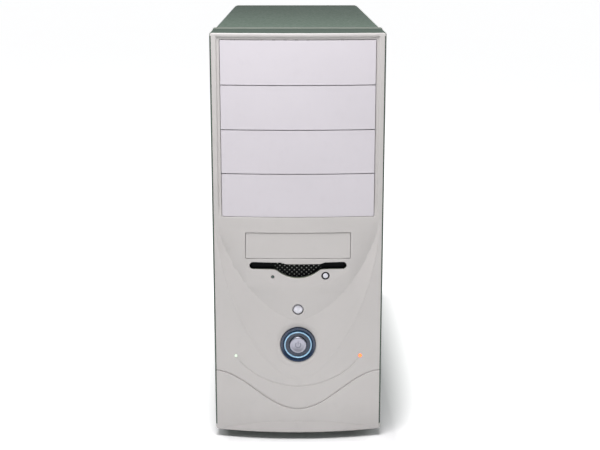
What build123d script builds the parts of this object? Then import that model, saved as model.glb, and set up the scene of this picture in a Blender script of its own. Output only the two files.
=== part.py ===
"""Desktop computer tower: a steel chassis with removable side panels, a moulded front bezel with
drive-bay covers and push buttons, and the working parts inside.

Millimetres. +Z is up, the front faces -Y, +X is on the right as seen from the front.
The origin is on the floor, in the middle of the whole object's width and depth.
"""

import math
import os

from build123d import *

# ---- overall sizes -------------------------------------------------------------------------------
WIDTH = 168.0  # over the side panels and over the bezel
HEIGHT = 412.0  # floor to the top cover
CASE_DEPTH = 450.0  # side edges of the bezel to the back of the side panels
FOOT_HEIGHT = 8.0

# ---- sheet metal and general clearances ----------------------------------------------------------
CHASSIS_SHEET = 1.0
COVER_SHEET = 0.8
SLIDE_GAP = 0.3  # between a sliding panel and what it slides on
FIT_GAP = 0.3  # between parts that are put together and don't move
THREAD_GAP = 0.1  # round a screw's shank in its hole
SCREW_RADIUS = 1.7
SCREW_HEAD_RADIUS = 3.2
SCREW_HEAD = 2.0
SCREW_REACH = 5.0  # shank inside the sheet
BUTTON_STEM = 2.75

# ---- front bezel ---------------------------------------------------------------------------------
BEZEL_DEPTH = 48.0
BEZEL_WALL = 2.5
BEZEL_DROP = 1.2  # the bezel's top lies this far below the top cover
BEZEL_RIM = 1.6  # the raised rim at its back edge
BEZEL_CORNER = 3.0
BOW = 6.0  # how far the middle of the front stands forward of its side edges
LIP = 4.0  # how much further the bottom edge stands forward
LIP_RISE = 10.5
BAY_FRAME_TOP = 8.0  # bezel above the top bay cover
BAY_RETURN = 12.0  # depth of the frames behind the bezel's openings
CLIP_HEIGHT = 10.0
CLIP_THICKNESS = 2.2
CLIP_REACH = 9.0  # how far a clip's tongue goes behind the front plate
CLIP_INSET = 40.0  # the outer clips' distance from the bezel's top and bottom

# ---- bays ----------------------------------------------------------------------------------------
BAYS = 4
BAY_PITCH = 43.0
BAY_WIDTH = 149.2
BAY_COVER_GAP = 0.45
COVER_RECESS = 0.8  # covers lie this far behind the bezel's front
COVER_THICKNESS = 2.6
COVER_ARM = 10.0  # length of the snap arms behind a cover
COVER_EDGE = 1.0  # rounding round a cover's front
COVER_LIP = 2.4  # how far a cover's lip reaches down behind the next cover
COVER_LIP_THICKNESS = 1.2
COVER_LIP_INSET = 4.0
SMALL_BAY_WIDTH = 103.4
SMALL_BAY_HEIGHT = 26.4
SMALL_BAY_BELOW = 15.5  # bezel between the large bays and the small one
CAGE_LENGTH = 130.0
CAGE_INNER = 148.0
SMALL_CAGE_INNER = 102.6
SCREW_SLOT_LENGTH = 12.0
SCREW_SLOT_WIDTH = 3.6
SCREW_SLOT_PITCH = 79.2

# ---- disk slot, measured up from the bezel's bottom edge -----------------------------------------
SLOT_BELOW_BAY = 7.6  # middle of the disk slot below the small bay
SLOT_LENGTH = 96.0
SLOT_OPENING = 7.6
NOTCH_DEPTH = 9.0  # thumb notch below the slot
NOTCH_HALF = 22.0
FLAP_GAP = 0.5
FLAP_END_GAP = 2.0  # at the flap's ends, so that they clear the slot's round ends as it opens
FLAP_THICKNESS = 1.5
FLAP_SETBACK = 1.6  # flap's face behind the bezel's side edges
FLAP_PIN_RADIUS = 0.8
FLAP_PIN_DROP = 1.2  # pin below the flap's top edge
RUNNING_GAP = 0.05
STUD_PITCH = 4.8
STUD_ROW = 2.5
STUD_RADIUS = 0.7
STUD_HEIGHT = 0.45

# ---- buttons and lamps, measured up from the bezel's bottom edge ---------------------------------
POWER_BELOW_RESET = 37.0
POWER_RING_RADIUS = 17.6
POWER_BORE = 9.0
POWER_CAP_RADIUS = 8.5
TRIM_INNER = 12.6
TRIM_OUTER = 13.8
RESET_BELOW_SLOT = 45.5
RESET_HOLE = 5.6
RESET_CAP_RADIUS = 4.4
RESET_SKIRT_RADIUS = 5.3
EJECT_BELOW_SLOT = 10.5
EJECT_X = 27.2
EJECT_RADIUS = 3.7
BUTTON_GAP = 0.4
POWER_SETBACK = 2.0  # these faces lie behind the bowed front, in the bezel's dished middle
RESET_SETBACK = 2.8
EJECT_SETBACK = 2.2
LAMP_SETBACK = 0.3
FLOPPY_LAMP_SETBACK = 2.4
RING_FLANGE_SETBACK = 5.4
RING_FLANGE = 2.0
LAMP_RADIUS = 1.6
LAMP_BELOW_POWER = 12.0
LAMP_X = 62.5
FLOPPY_LAMP_BELOW_SLOT = 11.5
FLOPPY_LAMP_X = -25.0
SPEAKER_UP = 54.0
SPEAKER_RADIUS = 18.0
SPEAKER_CONE = 6.0
SPEAKER_MAGNET_RADIUS = 10.0
SPEAKER_MAGNET = 7.0
PLUNGER_LENGTH = 20.0  # bowed front to the end of a button's stem
SWITCH_GAP = 2.2  # stem to switch, more than the button's travel

# ---- top cover and side panels -------------------------------------------------------------------
COVER_BEND = 7.0
COVER_FLANGE = 18.5
COVER_BACK_FLANGE = 6.0
PAN_FLANGE = 12.0
RAIL_DROP = 13.2
RAIL_SHELF = 6.4
HOOK_DEPTH = 8.0
PANEL_BACK_FLANGE = 10.0
PANEL_HEM = 2.0
THUMBSCREW_HEAD = 7.0
THUMBSCREW_RADIUS = 5.5
THUMBSCREW_SHANK = 1.75
THUMBSCREW_REACH = 6.0
THUMBSCREW_INSET = 60.0

# ---- feet ----------------------------------------------------------------------------------------
FOOT_RADIUS = 16.0
FOOT_PIN = 4.0
FOOT_X = 58.0
FOOT_FRONT_INSET = 32.0
FOOT_BACK_INSET = 38.0

# ---- power supply --------------------------------------------------------------------------------
PSU_WIDTH = 150.0
PSU_HEIGHT = 86.0
PSU_LENGTH = 140.0
PSU_WALL = 1.0
PSU_TOP_GAP = 1.2
PSU_MARGIN = 5.0  # rear plate over the power supply's edge
PSU_TAB = 10.0
PSU_SCREW_IN = 5.0  # screw centre from the opening's corner
PSU_FAN_X = -18.0
INLET_X = 40.0
INLET_UP = 61.0
INLET_WIDTH = 27.0
INLET_HEIGHT = 20.0
INLET_FLANGE = 2.5
SWITCH_X = 40.0
SWITCH_UP = 23.0
SELECTOR_X = 61.0
SELECTOR_UP = 34.0
SELECTOR_TRAVEL = 6.0
SELECTOR_LENGTH = 7.6
SELECTOR_END_GAP = 0.7  # sum of the gaps at the slider's ends, halved
SWITCH_WIDTH = 13.0
SWITCH_HEIGHT = 19.0
SWITCH_RIM = 1.5
ROCKER_TILT = 8.0

# ---- fans ----------------------------------------------------------------------------------------
CASE_FAN_SIZE = 80.0
CASE_FAN_DEPTH = 25.0
COOLER_FAN_SIZE = 70.0
COOLER_FAN_DEPTH = 16.0
FAN_BLADES = 7
FAN_RIM = 2.0  # least wall round a fan's bore
BLADE_GAP = 1.2
WIRE_RADIUS = 0.9

# ---- motherboard ---------------------------------------------------------------------------------
BOARD_HEIGHT = 305.0
BOARD_DEPTH = 244.0
BOARD_THICKNESS = 1.6
BOARD_UP = 4.0  # board's lower edge above the base pan
STANDOFF = 6.6
SLOT_PITCH = 20.32
SLOT_COUNT = 7
SLOT_WINDOW = 13.0
BRACKET_WIDTH = 18.4
BRACKET_LENGTH = 112.0
BRACKET_SHEET = 0.9
BRACKET_TAB = 10.0
BRACKET_SCREW_IN = 6.0  # screw centre from the rear plate
IO_WIDTH = 44.4
IO_HEIGHT = 158.8
SOCKET_HEIGHT = 4.5
PORT_REACH = 14.0
# each rear socket: height above the shield's lower edge, its own height, its depth from the board, its kind
PORTS = (
    (144.0, 13.0, 27.0, "pair"),
    (126.0, 14.0, 16.0, "flat"),
    (82.0, 38.0, 12.0, "wide"),
    (58.0, 17.0, 16.0, "flat"),
    (18.0, 36.0, 12.0, "jacks"),
)
HEATSINK_SIZE = 68.0
HEATSINK_HEIGHT = 36.0
HEATSINK_FINS = 13

# ---- drives --------------------------------------------------------------------------------------
DRIVE_WIDTH = 101.6
DRIVE_HEIGHT = 25.4
FLOPPY_LENGTH = 146.0
HARD_DRIVE_LENGTH = 147.0
DRIVE_SPACE = 10.2  # between the floppy drive and the hard drive
DRIVE_FACE = 4.0
CAVITY_DEPTH = 96.0

# ---- derived places ------------------------------------------------------------------------------
HALF = WIDTH / 2
BASE = FOOT_HEIGHT
TOTAL_DEPTH = BOW + LIP + CASE_DEPTH + THUMBSCREW_HEAD
FRONT = -TOTAL_DEPTH / 2 + BOW + LIP  # the bezel's side edges
SEAM = FRONT + BEZEL_DEPTH  # bezel meets the steel case
REAR = FRONT + CASE_DEPTH
REAR_OUT = REAR - COVER_SHEET  # outer face of the rear plate
REAR_IN = REAR_OUT - CHASSIS_SHEET
PLATE_BACK = SEAM + CHASSIS_SHEET  # inner face of the front plate
SKIN_IN = HALF - COVER_SHEET
RAIL_OUT = SKIN_IN - SLIDE_GAP
RAIL_IN = RAIL_OUT - CHASSIS_SHEET
HOOK_OUT = RAIL_IN - SLIDE_GAP
HOOK_IN = HOOK_OUT - COVER_SHEET
PLATE_HALF = HOOK_IN - SLIDE_GAP
PLATE_TOP = HEIGHT - COVER_SHEET
BEZEL_TOP = HEIGHT - BEZEL_DROP
BAY_TOP = HEIGHT - BAY_FRAME_TOP
BAY_BOTTOM = BAY_TOP - BAYS * BAY_PITCH
SMALL_BAY_TOP = BAY_BOTTOM - SMALL_BAY_BELOW
SMALL_BAY_BOTTOM = SMALL_BAY_TOP - SMALL_BAY_HEIGHT
PAN_TOP = BASE + CHASSIS_SHEET
RAIL_TOP = HEIGHT - COVER_FLANGE - SLIDE_GAP
RAIL_BOTTOM = RAIL_TOP - RAIL_DROP
PANEL_TOP = RAIL_TOP - SLIDE_GAP
PANEL_BOTTOM = BASE + SLIDE_GAP
BOW_RADIUS = (HALF**2 + BOW**2) / (2 * BOW)
BOW_CENTRE = FRONT - BOW + BOW_RADIUS
CAGE_HALF = CAGE_INNER / 2
CAGE_BACK = PLATE_BACK + CAGE_LENGTH
CAGE_FLOOR_TOP = BAY_BOTTOM - FIT_GAP
CAGE_FLOOR_BOTTOM = CAGE_FLOOR_TOP - CHASSIS_SHEET
SMALL_CAGE_HALF = SMALL_CAGE_INNER / 2
SLOT_Z = SMALL_BAY_BOTTOM - SLOT_BELOW_BAY
EJECT_Z = SLOT_Z - EJECT_BELOW_SLOT
FLOPPY_LAMP_Z = SLOT_Z - FLOPPY_LAMP_BELOW_SLOT
RESET_Z = SLOT_Z - RESET_BELOW_SLOT
POWER_Z = RESET_Z - POWER_BELOW_RESET
LAMP_Z = POWER_Z - LAMP_BELOW_POWER
FLOPPY_BOTTOM = SMALL_BAY_BOTTOM - FIT_GAP - DRIVE_HEIGHT
FLOPPY_FACE_FRONT = FRONT + FLAP_SETBACK - 1.0
FLOPPY_BODY_FRONT = FLOPPY_FACE_FRONT + DRIVE_FACE
HARD_DRIVE_BOTTOM = FLOPPY_BOTTOM - DRIVE_SPACE - DRIVE_HEIGHT
PSU_TOP = PLATE_TOP - PSU_TOP_GAP
PSU_BOTTOM = PSU_TOP - PSU_HEIGHT
PSU_MIDDLE = (PSU_TOP + PSU_BOTTOM) / 2
PSU_FRONT = REAR_IN - PSU_LENGTH
PSU_HALF = PSU_WIDTH / 2
TRAY_OUT = PLATE_HALF - 0.1
TRAY_IN = TRAY_OUT - COVER_SHEET
BOARD_BACK_X = TRAY_IN - STANDOFF
BOARD_X = BOARD_BACK_X - BOARD_THICKNESS  # component face
BOARD_BOTTOM = PAN_TOP + BOARD_UP
BOARD_TOP = BOARD_BOTTOM + BOARD_HEIGHT
BOARD_REAR = REAR_IN - 1.2
BOARD_FRONT = BOARD_REAR - BOARD_DEPTH
IO_TOP = BOARD_TOP + 1.0
IO_BOTTOM = IO_TOP - IO_HEIGHT
IO_OUT = BOARD_BACK_X + 0.5
IO_IN = IO_OUT - IO_WIDTH
FIRST_SLOT_Z = IO_BOTTOM - 12.5
COOLER_Y = BOARD_REAR - 74.0
COOLER_Z = BOARD_TOP - 62.0
HEATSINK_X = BOARD_X - SOCKET_HEIGHT  # face that lies on the processor
COOLER_FAN_X = HEATSINK_X - HEATSINK_HEIGHT

PARTS = {}


def save(name, *shapes):
    """Keeps the solids of a node for export."""
    solids = []
    for shape in shapes:
        solids.extend(shape.solids())
    PARTS[name] = solids


# ---- plain shapes --------------------------------------------------------------------------------
def block(x0, x1, y0, y1, z0, z1):
    """Box between two corners."""
    middle = Pos((x0 + x1) / 2, (y0 + y1) / 2, (z0 + z1) / 2)
    return middle * Box(x1 - x0, y1 - y0, z1 - z0)


def rod_x(y, z, radius, x0, x1):
    return Pos((x0 + x1) / 2, y, z) * Rot(0, 90, 0) * Cylinder(radius, x1 - x0)


def rod_y(x, z, radius, y0, y1):
    return Pos(x, (y0 + y1) / 2, z) * Rot(90, 0, 0) * Cylinder(radius, y1 - y0)


def rod_z(x, y, radius, z0, z1):
    return Pos(x, y, (z0 + z1) / 2) * Cylinder(radius, z1 - z0)


def prism_y(sketch, y0, y1):
    """Sketch of X and Z, made solid from y0 to y1."""
    return extrude(Plane.XZ.offset(-y1) * sketch, y1 - y0)


def prism_x(sketch, x0, x1):
    """Sketch of Y and Z, made solid from x0 to x1."""
    return extrude(Plane.YZ.offset(x0) * sketch, x1 - x0)


def mirrored(shape):
    return mirror(shape, about=Plane.YZ)


def frame_y(x0, x1, z0, z1, wall, y0, y1):
    """Rectangular tube along Y whose inside is the given window."""
    outer = block(x0 - wall, x1 + wall, y0, y1, z0 - wall, z1 + wall)
    return outer - block(x0, x1, y0 - 1, y1 + 1, z0, z1)


# ---- the bowed front -----------------------------------------------------------------------------
def bow_y(x, depth=0.0):
    """Y of the bowed front at x, or of a surface that lies depth behind it."""
    return BOW_CENTRE - math.sqrt((BOW_RADIUS - depth) ** 2 - x * x)


def bow_arc(x0, x1, depth):
    middle = (x0 + x1) / 2
    return ThreePointArc((x0, bow_y(x0, depth)), (middle, bow_y(middle, depth)), (x1, bow_y(x1, depth)))


def bowed_block(half, depth, y_back, z0, z1):
    """Block from y_back to the surface that lies depth behind the bowed front."""
    edge = bow_y(half, depth)
    outline = bow_arc(-half, half, depth) + Polyline(
        (half, edge), (half, y_back), (-half, y_back), (-half, edge)
    )
    return extrude(Plane.XY.offset(z0) * make_face(outline), z1 - z0)


def bowed_plate(half, z0, z1, depth, thickness):
    """Plate that follows the bow, between two depths behind the front."""
    back_edge = bow_y(half, depth + thickness)
    outline = (
        bow_arc(-half, half, depth)
        + Line((half, bow_y(half, depth)), (half, back_edge))
        + bow_arc(half, -half, depth + thickness)
        + Line((-half, back_edge), (-half, bow_y(half, depth)))
    )
    return extrude(Plane.XY.offset(z0) * make_face(outline), z1 - z0)


def slot_outline(grow):
    """The disk slot with its thumb notch, grown by a margin, as a sketch of X and Z."""
    bottom = SLOT_Z - SLOT_OPENING / 2
    radius = (NOTCH_HALF**2 + NOTCH_DEPTH**2) / (2 * NOTCH_DEPTH)
    centre_z = bottom - NOTCH_DEPTH + radius
    slot = Pos(0, SLOT_Z) * SlotOverall(SLOT_LENGTH + 2 * grow, SLOT_OPENING + 2 * grow)
    window_low = bottom - NOTCH_DEPTH - grow - 1
    window = Pos(0, (window_low + SLOT_Z) / 2) * Rectangle(3 * NOTCH_HALF, SLOT_Z - window_low)
    notch = (Pos(0, centre_z) * Circle(radius + grow)) & window
    return slot + notch


# ---- front bezel ---------------------------------------------------------------------------------
def bottom_lip():
    """The bottom edge's forward flare: a cone that meets the bowed front along an arc."""
    reach = BOW + LIP
    radius = (HALF**2 + reach**2) / (2 * reach)
    cone = Cone(radius, radius - LIP, LIP_RISE)
    cone = Pos(0, FRONT - reach + radius, BASE + LIP_RISE / 2) * cone
    return cone & block(-HALF, HALF, FRONT - reach - 1, FRONT + BEZEL_WALL, BASE, BASE + LIP_RISE)


def bezel_clips():
    """Tongues on the inside that snap through the front plate."""
    clips = []
    inner = CAGE_HALF + CHASSIS_SHEET + 1.6
    heights = (BASE + CLIP_INSET, (BASE + HEIGHT) / 2, HEIGHT - CLIP_INSET)
    for z in heights:
        low, high = z - CLIP_HEIGHT / 2, z + CLIP_HEIGHT / 2
        root = block(inner, HALF - BEZEL_WALL / 2, SEAM - 12, SEAM - 2, low, high)
        tongue = block(inner, inner + CLIP_THICKNESS, SEAM - 12, SEAM + CLIP_REACH, low, high)
        clips.append(root + tongue)
    return clips, inner, heights


def front_bezel():
    outer = bowed_block(HALF, 0, SEAM, BASE, BEZEL_TOP)
    corners = outer.edges().filter_by(Axis.Z).group_by(Axis.Y)[0]
    outer = fillet(corners, BEZEL_CORNER)
    top_front = outer.faces().sort_by(Axis.Z)[-1].edges().sort_by(Axis.Y)[0]
    outer = fillet(top_front, BEZEL_CORNER * 0.6)
    outer = outer + bottom_lip()
    rim = block(-HALF, HALF, SEAM - BEZEL_RIM, SEAM, BEZEL_TOP - BEZEL_WALL, HEIGHT)
    outer = outer + fillet(rim.edges().filter_by(Axis.Y).group_by(Axis.Z)[-1], BEZEL_CORNER)
    hollow = bowed_block(HALF - BEZEL_WALL, BEZEL_WALL, SEAM + 1, BASE + BEZEL_WALL, BEZEL_TOP - BEZEL_WALL)
    shell = outer - hollow

    bay_half = BAY_WIDTH / 2
    small_half = SMALL_BAY_WIDTH / 2
    returns = frame_y(-bay_half, bay_half, BAY_BOTTOM, BAY_TOP, 1.8, FRONT - BOW, FRONT + BAY_RETURN)
    returns += frame_y(
        -small_half, small_half, SMALL_BAY_BOTTOM, SMALL_BAY_TOP, 1.6, FRONT - BOW, FRONT - FIT_GAP
    )
    returns += prism_y(slot_outline(2.0), FRONT - BOW, FLOPPY_FACE_FRONT - FIT_GAP)
    returns += rod_y(0, RESET_Z, RESET_HOLE + 1.8, FRONT - BOW, FRONT + 5)
    for clip in bezel_clips()[0]:
        returns += clip + mirrored(clip)
    body = bowed_block(HALF - 1, 1.0, SEAM + CLIP_REACH, BASE + 1, BEZEL_TOP - 1)
    shell = shell + (returns & body)

    cut_front, cut_back = FRONT - BOW - LIP - 1, FRONT + BAY_RETURN + 1
    shell -= block(-bay_half, bay_half, cut_front, cut_back, BAY_BOTTOM, BAY_TOP)
    shell -= block(-small_half, small_half, cut_front, cut_back, SMALL_BAY_BOTTOM, SMALL_BAY_TOP)
    shell -= prism_y(slot_outline(0), cut_front, cut_back)
    shell -= rod_y(0, POWER_Z, POWER_RING_RADIUS + FIT_GAP, cut_front, cut_back)
    shell -= rod_y(0, RESET_Z, RESET_HOLE, cut_front, cut_back)
    shell -= rod_y(EJECT_X, EJECT_Z, EJECT_RADIUS + BUTTON_GAP, cut_front, cut_back)
    for x, z in ((-LAMP_X, LAMP_Z), (LAMP_X, LAMP_Z), (FLOPPY_LAMP_X, FLOPPY_LAMP_Z)):
        shell -= rod_y(x, z, LAMP_RADIUS + THREAD_GAP, cut_front, cut_back)
    save("front_bezel", shell)


def bay_cover(half, z0, z1):
    """Cover with two snap arms that grip inside the bezel's frame."""
    plate = bowed_plate(half, z0, z1, COVER_RECESS, COVER_THICKNESS)
    front = max(plate.faces(), key=lambda face: (face.area, -face.center().Y))
    plate = fillet(front.edges(), COVER_EDGE)
    middle = (z0 + z1) / 2
    reach = (z1 - z0) * 0.3
    start = bow_y(half, COVER_RECESS + COVER_THICKNESS) - 0.6
    arm = block(half - 2.2, half - 0.6, start, start + COVER_ARM, middle - reach, middle + reach)
    return plate + arm + mirrored(arm)


def cover_lip(half, z0):
    """Lip on a cover's lower edge that closes the view through the gap to the next cover."""
    back = COVER_RECESS + COVER_THICKNESS
    hang = back + FIT_GAP
    root_low, root_high = z0 + COVER_EDGE, z0 + COVER_EDGE + COVER_LIP
    root = bowed_plate(half, root_low, root_high, back - 0.4, hang - back + COVER_LIP_THICKNESS + 0.4)
    return root + bowed_plate(half, z0 - COVER_LIP, root_high, hang, COVER_LIP_THICKNESS)


def bay_covers():
    half = BAY_WIDTH / 2 - BAY_COVER_GAP
    for number in range(BAYS):
        z1 = BAY_TOP - number * BAY_PITCH - BAY_COVER_GAP
        z0 = BAY_TOP - (number + 1) * BAY_PITCH + BAY_COVER_GAP
        cover = bay_cover(half, z0, z1)
        if number < BAYS - 1:
            cover += cover_lip(half - COVER_LIP_INSET, z0)
        save(f"bay_cover_{number + 1}", cover)
    z0, z1 = SMALL_BAY_BOTTOM + BAY_COVER_GAP, SMALL_BAY_TOP - BAY_COVER_GAP
    save("small_bay_cover", bay_cover(SMALL_BAY_WIDTH / 2 - BAY_COVER_GAP, z0, z1))


# ---- buttons, lamps and their switches -----------------------------------------------------------
def power_button():
    z = POWER_Z
    face = bow_y(0) + POWER_SETBACK
    flange = bow_y(0) + RING_FLANGE_SETBACK
    ring = rod_y(0, z, POWER_RING_RADIUS, face, flange + RING_FLANGE)
    ring += rod_y(0, z, POWER_RING_RADIUS + RING_FLANGE, flange, flange + RING_FLANGE)
    ring -= rod_y(0, z, POWER_BORE, face - 1, flange + RING_FLANGE + 1)
    dish = Pos(0, face + 1.0, z) * Rot(90, 0, 0) * Cone(POWER_RING_RADIUS - 4, POWER_RING_RADIUS - 0.8, 2.0)
    ring -= dish
    groove = rod_y(0, z, TRIM_OUTER, face - 1, face + 4) - rod_y(0, z, TRIM_INNER, face - 1, face + 4)
    save("power_ring", ring - groove)
    trim = rod_y(0, z, TRIM_OUTER, face + 0.2, face + 4) - rod_y(0, z, TRIM_INNER, face - 1, face + 5)
    trim = fillet(trim.edges().group_by(Axis.Y)[0], 0.5)
    save("power_ring_trim", trim)
    cap = rod_y(0, z, POWER_CAP_RADIUS, face - 0.4, face + 8)
    cap = fillet(cap.edges().group_by(Axis.Y)[0], 1.4)
    stem = rod_y(0, z, BUTTON_STEM, face + 7, bow_y(0) + PLUNGER_LENGTH)
    save("power_button", cap + stem)


def reset_button():
    z = RESET_Z
    face = bow_y(0) + RESET_SETBACK
    cap = rod_y(0, z, RESET_CAP_RADIUS, face, face + 5)
    cap = fillet(cap.edges().group_by(Axis.Y)[0], 1.2)
    skirt = rod_y(0, z, RESET_SKIRT_RADIUS, face + 4, face + 9)
    stem = rod_y(0, z, BUTTON_STEM, face + 8, bow_y(0) + PLUNGER_LENGTH)
    save("reset_button", cap + skirt + stem)


def switch_board():
    """Small board behind the two buttons with a push switch for each."""
    tip = bow_y(0) + PLUNGER_LENGTH + SWITCH_GAP
    body_front = tip + 1.6
    body_back = body_front + 3.5
    pieces = []
    for z in (POWER_Z, RESET_Z):
        body = block(-3, 3, body_front, body_back, z - 3, z + 3)
        pieces.append(body + rod_y(0, z, 1.7, tip, body_front + 1))
    board = block(-13, 13, body_back, body_back + 1.6, POWER_Z - 12, RESET_Z + 12)
    for z in (POWER_Z - 8, RESET_Z + 8):
        for x in (-9, 9):
            pieces.append(rod_y(x, z, 2.2, body_back + 1.6, SEAM))
    save("switch_board", board, *pieces)


def eject_button():
    z = EJECT_Z
    face = bow_y(EJECT_X) + EJECT_SETBACK
    cap = rod_y(EJECT_X, z, EJECT_RADIUS, face, FLOPPY_BODY_FRONT + 4)
    save("eject_button", fillet(cap.edges().group_by(Axis.Y)[0], 0.9))


def lamps():
    places = {
        "power_led": (-LAMP_X, LAMP_Z, LAMP_SETBACK, FRONT + 7),
        "disk_led": (LAMP_X, LAMP_Z, LAMP_SETBACK, FRONT + 7),
        "floppy_led": (FLOPPY_LAMP_X, FLOPPY_LAMP_Z, FLOPPY_LAMP_SETBACK, FLOPPY_FACE_FRONT - FIT_GAP),
    }
    for name, (x, z, setback, back) in places.items():
        front = bow_y(x) + setback
        lens = rod_y(x, z, LAMP_RADIUS, front, back)
        save(name, fillet(lens.edges().group_by(Axis.Y)[0], LAMP_RADIUS * 0.75))


def speaker():
    z = BASE + SPEAKER_UP
    seat = PLATE_BACK + SPEAKER_CONE
    cone = rod_y(0, z, SPEAKER_RADIUS, PLATE_BACK, seat)
    magnet = rod_y(0, z, SPEAKER_MAGNET_RADIUS, seat - 1, seat + SPEAKER_MAGNET)
    save("speaker", cone + magnet)


# ---- chassis -------------------------------------------------------------------------------------
def base_pan():
    pan = block(-RAIL_OUT, RAIL_OUT, PLATE_BACK, REAR_IN, BASE, PAN_TOP)
    for side in (-1, 1):
        inner, outer = sorted((side * RAIL_IN, side * RAIL_OUT))
        pan += block(inner, outer, PLATE_BACK, REAR_IN, BASE, BASE + PAN_FLANGE)
    for x, y in foot_places():
        pan -= rod_z(x, y, FOOT_PIN + THREAD_GAP, BASE - 1, PAN_TOP + 1)
    save("base_pan", pan)


def front_plate():
    plate = block(-PLATE_HALF, PLATE_HALF, SEAM, PLATE_BACK, BASE, PLATE_TOP)
    plate = fillet(plate.edges().filter_by(Axis.Y).group_by(Axis.Z)[-1], COVER_BEND)
    back, front = PLATE_BACK + 1, SEAM - 1
    plate -= block(-CAGE_HALF, CAGE_HALF, front, back, BAY_BOTTOM, BAY_TOP)
    low = FLOPPY_BOTTOM - FIT_GAP
    plate -= block(-SMALL_CAGE_HALF, SMALL_CAGE_HALF, front, back, low, SMALL_BAY_TOP)
    _, inner, heights = bezel_clips()
    for z in heights:
        half = CLIP_HEIGHT / 2 + FIT_GAP
        window = block(inner - FIT_GAP, inner + CLIP_THICKNESS + FIT_GAP, front, back, z - half, z + half)
        plate -= window
        plate -= mirrored(window)
    for column in range(-4, 5):
        for row in range(4):
            plate -= rod_y(column * 13.0, BASE + 22 + row * 8.0, 2.4, front, back)
    save("front_plate", plate)


def psu_window():
    """Opening in the rear plate: a rectangle with a tab left in each corner for a screw."""
    half = PSU_HALF - PSU_MARGIN
    low, high = PSU_BOTTOM + PSU_MARGIN, PSU_TOP - PSU_MARGIN
    window = block(-half, half, REAR_IN - 1, REAR_OUT + 1, low, high)
    for x in (-half, half - PSU_TAB):
        for z in (low, high - PSU_TAB):
            window -= block(x, x + PSU_TAB, REAR_IN - 2, REAR_OUT + 2, z, z + PSU_TAB)
    return window


def psu_screws():
    half = PSU_HALF - PSU_MARGIN - PSU_SCREW_IN
    low, high = PSU_BOTTOM + PSU_MARGIN + PSU_SCREW_IN, PSU_TOP - PSU_MARGIN - PSU_SCREW_IN
    return [(x, z) for x in (-half, half) for z in (low, high)]


def slot_heights():
    return [FIRST_SLOT_Z - number * SLOT_PITCH for number in range(SLOT_COUNT)]


def thumbscrew_places():
    x = PLATE_HALF - 3.0
    return [(x, BASE + THUMBSCREW_INSET), (x, HEIGHT - THUMBSCREW_INSET)]


def rear_plate():
    plate = block(-PLATE_HALF, PLATE_HALF, REAR_IN, REAR_OUT, BASE, PLATE_TOP)
    plate = fillet(plate.edges().filter_by(Axis.Y).group_by(Axis.Z)[-1], COVER_BEND)
    plate -= psu_window()
    inside, outside = REAR_IN - 1, REAR_OUT + 1
    plate -= block(IO_IN, IO_OUT, inside, outside, IO_BOTTOM, IO_TOP)
    for z in slot_heights():
        half = SLOT_WINDOW / 2
        plate -= block(IO_OUT - 104, IO_OUT - 3, inside, outside, z - half, z + half)
    for column in range(2):
        x0 = IO_IN - 92 + column * 42
        for row in range(10):
            z = IO_BOTTOM + 34 + row * 10
            plate -= block(x0, x0 + 34, inside, outside, z, z + 4.4)
    for x, z in psu_screws():
        plate -= rod_y(x, z, SCREW_RADIUS + THREAD_GAP, inside, outside)
    for x, z in thumbscrew_places():
        hole = rod_y(x, z, THUMBSCREW_SHANK + THREAD_GAP, inside, outside)
        plate -= hole
        plate -= mirrored(hole)
    heights = slot_heights()
    shelf_x = IO_OUT - BRACKET_LENGTH - 1.2
    low, high = heights[-1] - BRACKET_WIDTH / 2, heights[0] + BRACKET_WIDTH / 2
    plate += block(shelf_x - CHASSIS_SHEET, shelf_x, REAR_IN - BRACKET_TAB, REAR_IN + 0.5, low, high)
    for z in heights:
        plate -= rod_x(REAR_IN - BRACKET_SCREW_IN, z, SCREW_RADIUS + THREAD_GAP, shelf_x - 3, shelf_x + 1)
    save("rear_plate", plate)


def top_rails():
    shelf = block(RAIL_OUT - RAIL_SHELF, RAIL_OUT, PLATE_BACK, REAR_IN, RAIL_TOP - CHASSIS_SHEET, RAIL_TOP)
    flange = block(RAIL_IN, RAIL_OUT, PLATE_BACK, REAR_IN, RAIL_BOTTOM, RAIL_TOP)
    rail = shelf + flange
    save("top_rails", rail, mirrored(rail))


def motherboard_tray():
    tray = block(TRAY_IN, TRAY_OUT, BOARD_FRONT - 8, REAR_IN, PAN_TOP, BOARD_TOP + 4)
    for y in (BOARD_REAR - 10, BOARD_REAR - 124, BOARD_FRONT + 8):
        for z in (BOARD_BOTTOM + 8, BOARD_BOTTOM + 150, BOARD_TOP - 8):
            tray += rod_x(y, z, 2.6, BOARD_BACK_X, TRAY_IN + 0.2)
    save("motherboard_tray", tray)


def cage_wall(inner, z0, z1, rows):
    """Side plate of a drive cage with a pair of screw slots for each drive."""
    wall = block(inner, inner + CHASSIS_SHEET, PLATE_BACK, CAGE_BACK, z0, z1)
    half_length, half_width = SCREW_SLOT_LENGTH / 2, SCREW_SLOT_WIDTH / 2
    for z in rows:
        for y in (PLATE_BACK + 22, PLATE_BACK + 22 + SCREW_SLOT_PITCH):
            wall -= block(
                inner - 1, inner + 2, y - half_length, y + half_length, z - half_width, z + half_width
            )
    return wall


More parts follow.
